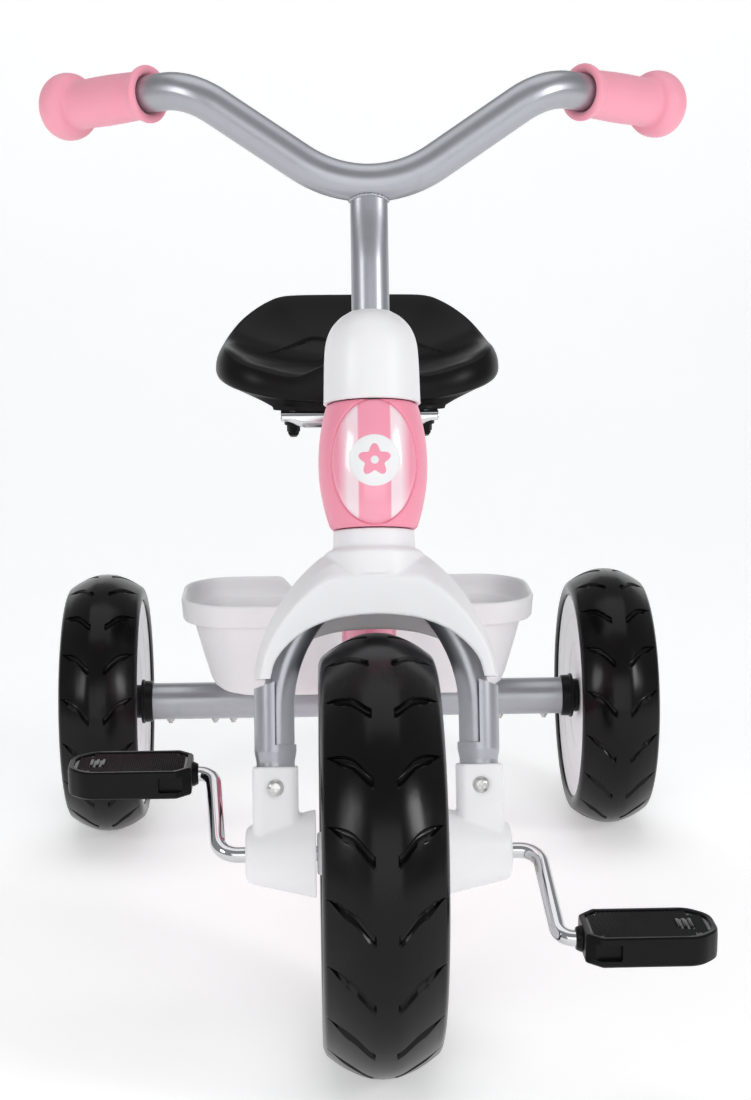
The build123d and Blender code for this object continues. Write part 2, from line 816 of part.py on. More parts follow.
def build_basket():
    cavity = basket_tub(basket_wall)
    dip_plane = Plane(origin=(0, basket_centre_y, 0), x_dir=(-1, 0, 0), z_dir=(0, 1, 0))
    dip_low = basket_top - basket_dip
    dip = [(-60, basket_top + 1), (-43, dip_low), (43, dip_low), (60, basket_top + 1)]
    dip = extrude(dip_plane * make_face(Polyline(*dip, close=True)), amount=100)
    save("basket", basket_tub(0) - cavity - dip - basket_screw_holes())
    strap_low = rear_wheel_radius + axle_tube_radius
    strap_box = Box(strap_width, strap_depth, basket_bottom - strap_low)
    strap = Pos(0, rear_axle_y, (strap_low + basket_bottom) / 2) * strap_box
    save("basket_bracket", strap - basket_screw_holes())
    screws = []
    for x in (-basket_screw_x, basket_screw_x):
        shank = basket_screw_shank(x, strap_low, basket_bottom + basket_wall)
        head = Pos(x, rear_axle_y, basket_bottom + basket_wall + 1.0) * Cylinder(4.0, 2.0)
        screws.append(shank + head)
    save("basket_screws", group(screws))


def basket_screw_shank(x, low, high):
    return rod((x, rear_axle_y, low), (x, rear_axle_y, high), small_screw_radius)


def basket_screw_holes():
    low = rear_wheel_radius + axle_tube_radius - 1
    high = basket_bottom + 5
    left = basket_screw_shank(basket_screw_x, low, high)
    right = basket_screw_shank(-basket_screw_x, low, high)
    return left + right


os.makedirs("parts", exist_ok=True)
build_front_wheel()
build_rear_wheels()
build_pedals()
build_head_cover()
build_head_bearing()
build_steering()
build_grips()
build_fork()
build_frame()
build_seat()
build_basket()
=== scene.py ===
"""Looks of a child's pedal tricycle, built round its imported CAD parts.

Shapes are drawn in millimetres in a local frame.  A placement matrix then puts them in the row
frame in metres: COLUMN for what turns with the handlebar, and wheel frames for the wheels.
"""
import json
import math
from math import atan2, cos, degrees, exp, pi, radians, sin, sqrt, tan

import bmesh
import bpy
from mathutils import Matrix, Vector


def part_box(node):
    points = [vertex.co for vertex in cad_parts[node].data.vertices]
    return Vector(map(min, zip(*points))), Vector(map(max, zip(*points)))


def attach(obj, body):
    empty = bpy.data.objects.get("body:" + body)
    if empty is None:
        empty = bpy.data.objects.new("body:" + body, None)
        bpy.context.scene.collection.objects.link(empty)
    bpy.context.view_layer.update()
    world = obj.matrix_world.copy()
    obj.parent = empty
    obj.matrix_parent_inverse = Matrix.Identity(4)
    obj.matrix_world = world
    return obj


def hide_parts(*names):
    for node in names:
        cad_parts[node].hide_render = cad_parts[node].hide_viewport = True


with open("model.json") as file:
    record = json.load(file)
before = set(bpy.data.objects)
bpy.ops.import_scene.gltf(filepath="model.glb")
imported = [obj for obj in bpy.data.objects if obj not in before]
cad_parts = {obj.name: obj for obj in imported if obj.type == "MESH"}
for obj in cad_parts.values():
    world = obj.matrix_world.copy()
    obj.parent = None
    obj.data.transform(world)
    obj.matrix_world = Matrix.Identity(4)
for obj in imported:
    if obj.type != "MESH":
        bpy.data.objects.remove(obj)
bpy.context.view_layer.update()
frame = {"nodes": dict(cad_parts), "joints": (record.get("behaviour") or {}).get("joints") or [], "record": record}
joints = {joint["name"]: joint for joint in frame["joints"]}

MM = 0.001
SCALE = Matrix.Scale(MM, 4)
SLOTS = {part["node"]: part["material_slot"] for part in frame["record"]["subparts"]}
BODIES = {node: body for body, nodes in frame["record"]["behaviour"]["bodies"].items() for node in nodes}


# ---------------------------------------------------------------- frames
def frame_from_axes(origin, x_axis, y_axis, z_axis):
    columns = Matrix((x_axis, y_axis, z_axis)).transposed()
    return Matrix.Translation(origin) @ columns.to_4x4() @ SCALE


STEERING_AXIS = Vector(joints["steering_turn"]["axis"]).normalized()
ACROSS = Vector((1, 0, 0))
COLUMN = frame_from_axes(
    Vector(joints["steering_turn"]["pos_m"]), ACROSS, STEERING_AXIS.cross(ACROSS), STEERING_AXIS
)
ROW = SCALE


def about_x(origin, side=1):
    """A frame whose local z runs along X, outwards on the given side, for turned parts."""
    return frame_from_axes(origin, Vector((0, 1, 0)), Vector((0, 0, side)), Vector((side, 0, 0)))


# ---------------------------------------------------------------- mesh building
def new_object(name, vertices, faces, place=ROW, sharp_angle=32.0):
    """A closed mesh from millimetre points, welded, with outward normals and smooth shading."""
    mesh = bpy.data.meshes.new(name)
    mesh.from_pydata([place @ Vector(point) for point in vertices], [], faces)
    obj = bpy.data.objects.new(name, mesh)
    bpy.context.scene.collection.objects.link(obj)
    return tidied(obj, sharp_angle)


def tidied(obj, sharp_angle=32.0, weld=0.004 * MM):
    work = bmesh.new()
    work.from_mesh(obj.data)
    bmesh.ops.remove_doubles(work, verts=work.verts, dist=weld)
    bmesh.ops.dissolve_degenerate(work, edges=work.edges, dist=weld)
    bmesh.ops.recalc_face_normals(work, faces=work.faces)
    work.to_mesh(obj.data)
    work.free()
    obj.data.shade_smooth()
    obj.data.set_sharp_from_angle(angle=radians(sharp_angle))
    return obj


def rounded(corners, steps=5):
    """A closed outline with corners (x, y, radius) turned into arcs."""
    points = []
    for index, (x, y, radius) in enumerate(corners):
        here = Vector((x, y))
        if radius <= 0:
            points.append((x, y))
            continue
        before = Vector(corners[index - 1][:2]) - here
        after = Vector(corners[(index + 1) % len(corners)][:2]) - here
        angle = before.angle(after)
        reach = min(radius / tan(angle / 2), 0.49 * before.length, 0.49 * after.length)
        bisector = (before.normalized() + after.normalized()).normalized()
        centre = here + bisector * reach / cos(angle / 2)
        start = here + before.normalized() * reach - centre
        end = here + after.normalized() * reach - centre
        first = atan2(start.y, start.x)
        turn = (atan2(end.y, end.x) - first + pi) % (2 * pi) - pi
        for step in range(steps + 1):
            at = first + turn * step / steps
            points.append((centre.x + start.length * cos(at), centre.y + start.length * sin(at)))
    return points


def mirrored_loop(right):
    """A closed outline from its right half, listed from the top to the bottom."""
    return right + [(-x, y) for x, y in reversed(right)]


def smooth_line(points, steps=6):
    """Catmull-Rom points through a list of points of any dimension, ends included."""
    knots = [Vector(point) for point in points]
    knots = [2 * knots[0] - knots[1], *knots, 2 * knots[-1] - knots[-2]]
    line = []
    for i in range(1, len(knots) - 2):
        a, b, c, d = knots[i - 1 : i + 3]
        for step in range(steps):
            t = step / steps
            line.append(
                0.5 * (2 * b + (c - a) * t + (2 * a - 5 * b + 4 * c - d) * t**2 + (3 * b - a - 3 * c + d) * t**3)
            )
    return line + [knots[-2]]


def loft(name, rings, place=ROW, closed=False, caps=True, sharp_angle=32.0):
    """Quads between rings of equal length; the ends are capped unless the loft closes on itself."""
    count = len(rings[0])
    vertices = [point for ring in rings for point in ring]
    faces = []
    for row in range(len(rings) if closed else len(rings) - 1):
        low = row * count
        high = (row + 1) % len(rings) * count
        for i in range(count):
            j = (i + 1) % count
            faces.append((low + i, low + j, high + j, high + i))
    if caps and not closed:
        faces.append(tuple(range(count)))
        faces.append(tuple(range((len(rings) - 1) * count, len(rings) * count)))
    return new_object(name, vertices, faces, place, sharp_angle)


def lathe(name, outline, place=COLUMN, sides=128, sharp_angle=32.0):
    """Turn a closed outline of (radius, height) about the local z axis."""
    rings = []
    for side in range(sides):
        angle = 2 * pi * side / sides
        rings.append([(max(r, 0) * cos(angle), max(r, 0) * sin(angle), z) for r, z in outline])
    return loft(name, rings, place, closed=True, sharp_angle=sharp_angle)


def prism(name, outline, low, high, place=ROW, edge=0.0):
    """An outline raised from low to high, with both rims rounded by edge."""
    obj = loft(name, [[(x, y, z) for x, y in outline] for z in (low, high)], place)
    return eased(obj, edge) if edge else obj


def eased(obj, width, segments=3, angle=35.0):
    """Round the sharp edges and apply it."""
    bevel = obj.modifiers.new("edges", "BEVEL")
    bevel.width = width * MM
    bevel.segments = segments
    bevel.limit_method = "ANGLE"
    bevel.angle_limit = radians(angle)
    return applied(obj, 32.0)


def applied(obj, sharp_angle=32.0):
    """Replace the mesh with the result of its modifiers."""
    bpy.context.view_layer.update()
    graph = bpy.context.evaluated_depsgraph_get()
    mesh = bpy.data.meshes.new_from_object(obj.evaluated_get(graph))
    obj.modifiers.clear()
    obj.data = mesh
    mesh.shade_smooth()
    mesh.set_sharp_from_angle(angle=radians(sharp_angle))
    return obj


def tube(name, line, radius, place=ROW, sides=24, closed=False):
    """A round bar along a line; radius is a number or a function of the point's index."""
    path = [Vector(point) for point in line]
    count = len(path)
    rings = []
    normal = None
    for i, point in enumerate(path):
        ahead = path[(i + 1) % count] if closed or i < count - 1 else point
        behind = path[i - 1] if closed or i > 0 else point
        tangent = (ahead - behind).normalized()
        if normal is None:
            normal = tangent.orthogonal().normalized()
        normal = (normal - tangent * normal.dot(tangent)).normalized()
        other = tangent.cross(normal)
        size = radius(i) if callable(radius) else radius
        turn = [2 * pi * k / sides for k in range(sides)]
        rings.append([point + size * (cos(a) * normal + sin(a) * other) for a in turn])
    return loft(name, rings, place, closed=closed)


def joined(name, objects):
    """Several meshes in one object."""
    work = bmesh.new()
    for obj in objects:
        work.from_mesh(obj.data)
        bpy.data.objects.remove(obj)
    mesh = bpy.data.meshes.new(name)
    work.to_mesh(mesh)
    work.free()
    obj = bpy.data.objects.new(name, mesh)
    bpy.context.scene.collection.objects.link(obj)
    mesh.shade_smooth()
    mesh.set_sharp_from_angle(angle=radians(32.0))
    return obj


def melted(obj, voxel, rounds, factor=0.5):
    """Fuse overlapping solids into one skin and soften where they meet, as a mould does."""
    remesh = obj.modifiers.new("skin", "REMESH")
    remesh.mode = "VOXEL"
    remesh.voxel_size = voxel * MM
    soften = obj.modifiers.new("soften", "SMOOTH")
    soften.factor = factor
    soften.iterations = rounds
    applied(obj, 180.0)
    return obj


def cut(obj, cutter, operation="DIFFERENCE"):
    boolean = obj.modifiers.new("cut", "BOOLEAN")
    boolean.operation = operation
    boolean.solver = "EXACT"
    boolean.object = cutter
    applied(obj)
    bpy.data.objects.remove(cutter)
    return obj


def copy_of(node, name):
    """A welded copy of a CAD node's mesh, as the start of a finer piece."""
    obj = bpy.data.objects.new(name, frame["nodes"][node].data.copy())
    obj.data.materials.clear()
    bpy.context.scene.collection.objects.link(obj)
    return tidied(obj, weld=0.002 * MM)


def put(obj, nodes, material):
    """The piece stands for its CAD nodes, rides on their body and takes the given material."""
    nodes = [nodes] if isinstance(nodes, str) else nodes
    obj.data.materials.clear()
    obj.data.materials.append(material)
    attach(obj, BODIES[nodes[0]])
    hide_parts(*nodes)
    return obj


def add(obj, body, material):
    """A detail that stands for no CAD node."""
    obj.data.materials.clear()
    obj.data.materials.append(material)
    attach(obj, body)
    return obj


def smoothstep(low, high, value):
    t = min(1.0, max(0.0, (value - low) / (high - low)))
    return t * t * (3 - 2 * t)


# ---------------------------------------------------------------- materials
class Finish:
    """A node material with a Principled shader and object coordinates in metres."""

    def __init__(self, name, colour, roughness, metallic=0.0, **sockets):
        self.material = bpy.data.materials.new(name)
        self.material.use_nodes = True
        self.material.diffuse_color = (*colour, 1)
        self.tree = self.material.node_tree
        self.shader = self.tree.nodes["Principled BSDF"]
        self.colour = colour
        self.roughness = roughness
        self.shader.inputs["Base Color"].default_value = (*colour, 1)
        self.shader.inputs["Roughness"].default_value = roughness
        self.shader.inputs["Metallic"].default_value = metallic
        for socket, value in sockets.items():
            self.shader.inputs[socket.replace("_", " ")].default_value = value
        self.place = self.tree.nodes.new("ShaderNodeTexCoord").outputs["Object"]
        self.normal = None

    def node(self, kind, **settings):
        made = self.tree.nodes.new(kind)
        for name, value in settings.items():
            setattr(made, name, value)
        return made

    def link(self, source, target):
        self.tree.links.new(source, target)

    def noise(self, scale, detail=3.0, stretch=(1, 1, 1), distortion=0.0):
        mapping = self.node("ShaderNodeMapping")
        mapping.inputs["Scale"].default_value = stretch
        self.link(self.place, mapping.inputs["Vector"])
        texture = self.node("ShaderNodeTexNoise")
        texture.inputs["Scale"].default_value = scale
        texture.inputs["Detail"].default_value = detail
        texture.inputs["Distortion"].default_value = distortion
        self.link(mapping.outputs["Vector"], texture.inputs["Vector"])
        return texture.outputs[0]

    def cells(self, scale, feature="F1"):
        texture = self.node("ShaderNodeTexVoronoi", feature=feature)
        texture.inputs["Scale"].default_value = scale
        self.link(self.place, texture.inputs["Vector"])
        return texture.outputs[0]

    def spread(self, source, low, high, out_low=0.0, out_high=1.0):
        spread = self.node("ShaderNodeMapRange")
        for name, value in (("From Min", low), ("From Max", high), ("To Min", out_low), ("To Max", out_high)):
            spread.inputs[name].default_value = value
        self.link(source, spread.inputs["Value"])
        return spread.outputs["Result"]

    def vary_roughness(self, source, low, high):
        """Roughness from low to high as the source goes through its middle range."""
        self.link(self.spread(source, 0.32, 0.68, low, high), self.shader.inputs["Roughness"])

    def tint(self, factor, colour, base=None):
        """Mix another colour into the base, by a factor from 0 to 1."""
        mix = self.node("ShaderNodeMix", data_type="RGBA")
        mix.inputs[7].default_value = (*colour, 1)
        if base is None:
            mix.inputs[6].default_value = (*self.colour, 1)
        else:
            self.link(base, mix.inputs[6])
        self.link(factor, mix.inputs["Factor"])
        self.link(mix.outputs[2], self.shader.inputs["Base Color"])
        return mix.outputs[2]

    def grain(self, height, strength, depth):
        """Add a bump layer; depth is in metres."""
        bump = self.node("ShaderNodeBump")
        bump.inputs["Strength"].default_value = strength
        bump.inputs["Distance"].default_value = depth
        self.link(height, bump.inputs["Height"])
        if self.normal is not None:
            self.link(self.normal, bump.inputs["Normal"])
        self.normal = bump.outputs["Normal"]
        self.link(self.normal, self.shader.inputs["Normal"])


def shade(colour, factor):
    return tuple(min(1.0, channel * factor) for channel in colour)


def silver_paint():
    """Metallic paint: fine flakes, a soft clear coat and slight handling marks."""
    finish = Finish("silver_paint", (0.40, 0.41, 0.44), 0.3, metallic=0.85, Coat_Weight=0.2, Coat_Roughness=0.2)
    flakes = finish.cells(5200.0)
    drift = finish.noise(14.0, 4.0)
    rubbed = finish.spread(finish.noise(60.0, 6.0, distortion=0.6), 0.58, 0.72, 0.0, 0.35)
    base = finish.tint(finish.spread(flakes, 0.1, 0.7, 0.0, 0.35), shade(finish.colour, 1.25))
    finish.tint(rubbed, shade(finish.colour, 0.86), base)
    finish.vary_roughness(drift, 0.32, 0.40)
    finish.grain(flakes, 0.10, 0.00002)
    finish.grain(finish.noise(900.0, 2.0), 0.10, 0.00003)
    return finish.material


def chrome():
    finish = Finish("chrome", (0.62, 0.62, 0.63), 0.07, metallic=1.0)
    smudges = finish.noise(45.0, 5.0, distortion=0.4)
    finish.tint(finish.spread(smudges, 0.55, 0.75, 0.0, 0.3), (0.52, 0.52, 0.53))
    finish.vary_roughness(smudges, 0.05, 0.13)
    finish.grain(finish.noise(300.0, 2.0), 0.05, 0.00003)
    return finish.material


def zinc_steel():
    finish = Finish("zinc_steel", (0.60, 0.60, 0.58), 0.28, metallic=1.0)
    cloud = finish.noise(260.0, 5.0)
    finish.tint(finish.spread(cloud, 0.45, 0.7, 0.0, 0.6), (0.44, 0.44, 0.43))
    finish.vary_roughness(cloud, 0.2, 0.42)
    finish.grain(finish.noise(1800.0, 3.0), 0.2, 0.00004)
    return finish.material


def moulded(name, colour, roughness, swing, subsurface=0.0, reach=0.002, grain=0.12, **sockets):
    """Injection-moulded plastic: a spark-eroded grain, flow clouds and faint scuffs."""
    finish = Finish(name, colour, roughness, **sockets)
    if subsurface:
        finish.shader.inputs["Subsurface Weight"].default_value = subsurface
        finish.shader.inputs["Subsurface Radius"].default_value = (1.0, 0.9, 0.85)
        finish.shader.inputs["Subsurface Scale"].default_value = reach
    flow = finish.noise(22.0, 4.0, distortion=0.8)
    fine = finish.noise(2600.0, 2.0)
    scuffs = finish.spread(finish.noise(130.0, 7.0, (1, 1, 0.35), 1.2), 0.62, 0.78, 0.0, 0.30)
    base = finish.tint(finish.spread(flow, 0.35, 0.65, 0.0, 0.5), shade(colour, 0.965))
    finish.tint(scuffs, shade(colour, 0.93 if max(colour) > 0.2 else 1.8), base)
    finish.vary_roughness(flow, roughness - swing, roughness + swing)
    finish.grain(fine, grain, 0.00006)
    finish.grain(finish.noise(120.0, 3.0), 0.10, 0.0002)
    return finish


def pink_paint():
    finish = Finish("pink_paint", (0.90, 0.27, 0.40), 0.22, Coat_Weight=0.6, Coat_Roughness=0.08)
    peel = finish.noise(700.0, 2.0)
    drift = finish.noise(18.0, 4.0)
    finish.tint(finish.spread(drift, 0.35, 0.65, 0.0, 0.5), shade(finish.colour, 0.93))
    finish.vary_roughness(drift, 0.18, 0.28)
    finish.grain(peel, 0.18, 0.00006)
    return finish.material


def foam_tyre():
    """Glossy closed-cell foam: a skin with tiny pores and faint lighter clouds of dust."""
    finish = Finish("black_foam_tyre", (0.0034, 0.003, 0.0033), 0.2, IOR=1.29)
    drift = finish.noise(26.0, 5.0, distortion=0.5)
    pores = finish.spread(finish.cells(1500.0), 0.0, 0.42, 0.0, 1.0)
    finish.tint(finish.spread(drift, 0.5, 0.8, 0.0, 0.5), (0.009, 0.0085, 0.009))
    finish.vary_roughness(drift, 0.17, 0.28)
    finish.grain(pores, 0.10, 0.00005)
    finish.grain(finish.noise(95.0, 3.0), 0.16, 0.0004)
    return finish.material


def black_seat():
    """Satin black moulding with a fine leather-like grain."""
    finish = Finish("black_seat", (0.0055, 0.005, 0.0056), 0.34, IOR=1.24)
    flow = finish.noise(20.0, 4.0, distortion=0.6)
    pebbles = finish.cells(1100.0, "SMOOTH_F1")
    finish.tint(finish.spread(flow, 0.45, 0.8, 0.0, 0.6), (0.010, 0.0095, 0.010))
    finish.vary_roughness(flow, 0.29, 0.40)
    finish.grain(pebbles, 0.13, 0.00012)
    finish.grain(finish.noise(2600.0, 2.0), 0.08, 0.00005)
    return finish.material


def pink_rubber():
    finish = Finish("pink_rubber", (0.93, 0.37, 0.47), 0.5, Subsurface_Weight=0.18, Sheen_Weight=0.15)
    finish.shader.inputs["Subsurface Radius"].default_value = (1.0, 0.45, 0.45)
    finish.shader.inputs["Subsurface Scale"].default_value = 0.003
    flow = finish.noise(24.0, 4.0, distortion=0.5)
    finish.tint(finish.spread(flow, 0.35, 0.7, 0.0, 0.6), (0.92, 0.33, 0.43))
    finish.vary_roughness(flow, 0.44, 0.58)
    finish.grain(finish.noise(1500.0, 4.0), 0.22, 0.00008)
    finish.grain(finish.cells(900.0), 0.06, 0.00006)
    return finish.material


def badge_print():
    """Pink with two soft white vertical stripes, drawn across the badge along the column."""
    pink = (0.93, 0.34, 0.46)
    finish = Finish("badge_print", pink, 0.2, Coat_Weight=0.7, Coat_Roughness=0.06)
    split = finish.node("ShaderNodeSeparateXYZ")
    finish.link(finish.place, split.inputs["Vector"])
    offset = finish.node("ShaderNodeMath", operation="ABSOLUTE")
    finish.link(split.outputs["X"], offset.inputs[0])
    rise = finish.spread(offset.outputs[0], 0.0088, 0.0096)
    fall = finish.spread(offset.outputs[0], 0.0150, 0.0205, 1.0, 0.0)
    stripe = finish.node("ShaderNodeMath", operation="MULTIPLY")
    finish.link(rise, stripe.inputs[0])
    finish.link(fall, stripe.inputs[1])
    soft = finish.node("ShaderNodeMath", operation="MULTIPLY")
    finish.link(stripe.outputs[0], soft.inputs[0])
    finish.link(finish.spread(finish.noise(30.0, 2.0), 0.3, 0.7, 0.62, 0.86), soft.inputs[1])
    finish.tint(soft.outputs[0], (0.94, 0.86, 0.89))
    finish.vary_roughness(finish.noise(25.0, 4.0), 0.16, 0.26)
    finish.grain(finish.noise(900.0, 2.0), 0.06, 0.00004)
    return finish.material


def studio_surface():
    """The pale floor and backdrop."""
    finish = Finish("studio_floor", (0.93, 0.93, 0.93), 0.7)
    finish.shader.inputs["Emission Color"].default_value = (1, 1, 1, 1)
    finish.shader.inputs["Emission Strength"].default_value = 0.36
    finish.tint(finish.spread(finish.noise(3.0, 3.0), 0.4, 0.7, 0.0, 1.0), (0.92, 0.92, 0.92))
    return finish.material


WHITE = (0.885, 0.88, 0.89)
MATERIALS = {
    "silver_paint": silver_paint(),
    "pink_paint": pink_paint(),
    "pink_plastic": moulded("pink_plastic", (0.94, 0.32, 0.44), 0.34, 0.05, 0.10, 0.002, 0.2).material,
    "pink_rubber": pink_rubber(),
    "white_plastic": moulded("white_plastic", WHITE, 0.38, 0.06, 0.12, 0.003).material,
    "black_foam_tyre": foam_tyre(),
    "black_seat": black_seat(),
    "black_plastic": moulded("black_plastic", (0.0035, 0.0035, 0.004), 0.32, 0.06, grain=0.16, IOR=1.25).material,
    "nylon": moulded("nylon", (0.66, 0.66, 0.62), 0.45, 0.05, 0.2, 0.002).material,
    "chrome": chrome(),
    "zinc_steel": zinc_steel(),
}
BASKET_WHITE = moulded("basket_plastic", (0.88, 0.87, 0.885), 0.42, 0.06, 0.30, 0.008).material
TREAD_BLACK = moulded("tread_plastic", (0.006, 0.006, 0.0065), 0.24, 0.04, grain=0.1, IOR=1.5).material
BADGE_PRINT = badge_print()
for node, obj in frame["nodes"].items():
    obj.data.materials.clear()
    obj.data.materials.append(MATERIALS[SLOTS[node]])


# ---------------------------------------------------------------- tyres and wheels
GROOVE_LINE = [(6.0, 0.0), (9.0, 2.8), (12.5, 7.4), (16.0, 11.6), (19.5, 14.2), (24.0, 16.0), (30.0, 17.2), (33.0, 17.4)]
GROOVE_STEPS = [(0.0, 0.0), (0.04, 0.5), (0.09, 0.93), (0.16, 1.0), (0.42, 0.93), (0.66, 0.62), (0.85, 0.24), (1.0, 0.0)]
LAND_STEPS = [0.03, 0.1, 0.25, 0.42, 0.58, 0.75, 0.9, 0.97]


def line_at(points, x):
    """The height of a line of (x, y) points at x, with straight runs between them."""
    for (x0, y0), (x1, y1) in zip(points, points[1:]):
        if x <= x1:
            return y0 + (y1 - y0) * max(0.0, (x - x0) / (x1 - x0))
    return points[-1][1]


def tread_profile(radius, half_width, rim_radius):
    """Half of the tyre's section as (x, radius), from the crown to the bead, close-set in the tread."""
    crown = [
        (0, radius),
        (half_width * 0.24, radius * 0.9935),
        (half_width * 0.48, radius * 0.9705),
        (half_width * 0.68, radius * 0.9425),
        (half_width * 0.84, radius * 0.914),
        (half_width * 0.95, radius * 0.889),
        (half_width, radius * 0.855),
        (half_width * 0.995, radius * 0.832),
    ]
    section = [tuple(point) for point in smooth_line(crown, 9)]
    wall = [(half_width * 0.985, rim_radius + 1.4), (half_width * 0.955, rim_radius - 0.2)]
    bead = [(half_width - 3.4, rim_radius - 1.0), (half_width - 8.0, rim_radius - 1.0)]
    return section + wall + bead


def build_tyre(node, name, centre, lugs, first_angle, depth=2.9):
    """A foam tyre with mirrored rows of S-shaped grooves, each a real cut with a steep upper edge."""
    low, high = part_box(node)
    radius = (high.z - low.z) / 2 / MM
    half_width = (high.x - low.x) / 2 / MM
    rim_radius = radius - 20.0 - (5.0 if node.startswith("front") else 0.0)
    scale = half_width / 33.0
    half = tread_profile(radius, half_width, rim_radius)
    walls = [(5.7 * scale, None), (6.5 * scale, None)]
    for x, _ in walls:
        half.append((x, line_at([p for p in half if p[1] > rim_radius + 2], x)))
    split = [p for p in half if p[1] > radius * 0.86]
    rest = [p for p in half if p[1] <= radius * 0.86]
    half = sorted(split) + rest
    section = [(-x, r) for x, r in reversed(half[1:])] + half
    pitch = 2 * pi / lugs
    rows = []
    for lug in range(lugs):
        for share, drop in GROOVE_STEPS:
            rows.append((lug, share, drop, False))
        for share in LAND_STEPS:
            rows.append((lug, share, 0.0, True))
    rings = []
    for lug, share, drop, land in rows:
        ring = []
        for x, r in section:
            side = abs(x) / scale
            offset = line_at(GROOVE_LINE, side) * scale / radius
            width = 7.6 * scale * (0.05 + 0.95 * smoothstep(31.5, 20.5, side)) / radius
            if land:
                step = width + (pitch - width) * share
            else:
                step = width * share
            angle = first_angle + offset - lug * pitch - step
            inside = smoothstep(5.7, 6.5, side) * smoothstep(31.5, 25.0, side)
            r -= depth * scale * drop * inside
            ring.append((x, -r * cos(angle), r * sin(angle)))
        rings.append(ring)
    obj = loft(name, rings, frame_from_axes(centre, ACROSS, Vector((0, 1, 0)), Vector((0, 0, 1))), closed=True, sharp_angle=38.0)
    return put(obj, node, MATERIALS["black_foam_tyre"])


def rim_disc(name, node, place, rim_radius, face, bore, nose=None, pocket=None):
    """A moulded rim half: band, rolled lip, dished disc with two shallow stepped rings, and a hub ring."""
    lip = rim_radius
    outline = [
        (bore, 0.2, 0),
        (lip - 3.0, 0.2, 0.5),
        (lip, 0.2, 0.3),
        (lip, face + 5.2, 1.0),
        (lip - 2.6, face + 5.7, 1.2),
        (lip - 4.0, face + 4.5, 1.2),
        (lip * 0.80, face + 3.6, 1.5),
        (lip * 0.785, face + 2.8, 1.5),
        (lip * 0.52, face + 1.9, 1.5),
        (lip * 0.505, face + 1.1, 1.5),
        (hub_edge(nose) + 5.0, face + 0.7, 2.0),
        (hub_edge(nose), face, 0.8),
    ]
    if nose:
        outline += [(12.6, face, 1.0), (12.0, nose, 1.4), (bore, nose, 0.4)]
    elif pocket:
        outline += [(14.0, face, 0.5), (14.0, face - 8.0, 0.5), (bore, face - 8.0, 0.4)]
    else:
        outline += [(bore, face, 0.6)]
    obj = lathe(name, rounded(outline, 4), place, sides=160)
    return put(obj, node, MATERIALS["white_plastic"])


def hub_edge(nose):
    return 25.0 if nose else 30.0


def build_front_wheel():
    centre = Vector(joints["front_wheel_spin"]["pos_m"])
    build_tyre("front_tyre", "front_tyre_tread", centre, 19, radians(15.1 + 3.2))
    for side, sign in (("left", 1), ("right", -1)):
        node = f"{side}_front_rim"
        low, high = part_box(node)
        reach = max(abs(low.x), abs(high.x)) / MM
        rim_disc(f"{side}_front_disc", node, about_x(centre, sign), 100.0, 25.0, 4.6, nose=reach)


def build_rear_wheel(side, sign):
    centre = Vector(joints[f"{side}_rear_wheel_spin"]["pos_m"])
    build_tyre(f"{side}_rear_tyre", f"{side}_rear_tread", centre, 17, radians(8.0))
    rim_disc(f"{side}_outer_disc", f"{side}_rear_rim_outer", about_x(centre, sign), 80.0, 21.0, 5.1, pocket=True)
    rim_disc(f"{side}_inner_disc", f"{side}_rear_rim_inner", about_x(centre, -sign), 80.0, 21.0, 5.1)
    cap = [
        (0, 21.6, 0),
        (23.6, 21.4, 0.4),
        (24.0, 22.0, 0.4),
        (21.5, 24.2, 2.4),
        (15.5, 25.0, 1.0),
        (14.0, 25.9, 1.0),
        (0, 26.9, 0),
    ]
    plug = lathe(f"{side}_hub_cover", rounded(cap, 5), about_x(centre, sign), sides=96)
    put(plug, f"{side}_hub_cap", MATERIALS["white_plastic"])


# ---------------------------------------------------------------- cranks and pedals
def pedal_outline(inset):
    """The pedal from above in its own frame: x outwards along the spindle, y backwards."""
    inner, outer, depth = 108.0 + inset, 181.0 - inset, 23.0 - inset
    corner = 8.0 - 0.4 * inset
    corners = [
        (inner, -depth + corner, 1.5),
        (inner + corner, -depth, 3.0),
        (outer - 11.0, -depth, 14.0),
        (outer, -depth * 0.5, 14.0),
        (outer, depth * 0.5, 14.0),
        (outer - 11.0, depth, 14.0),
        (inner + corner, depth, 3.0),
        (inner, depth - corner, 1.5),
    ]
    return rounded(corners, 6)


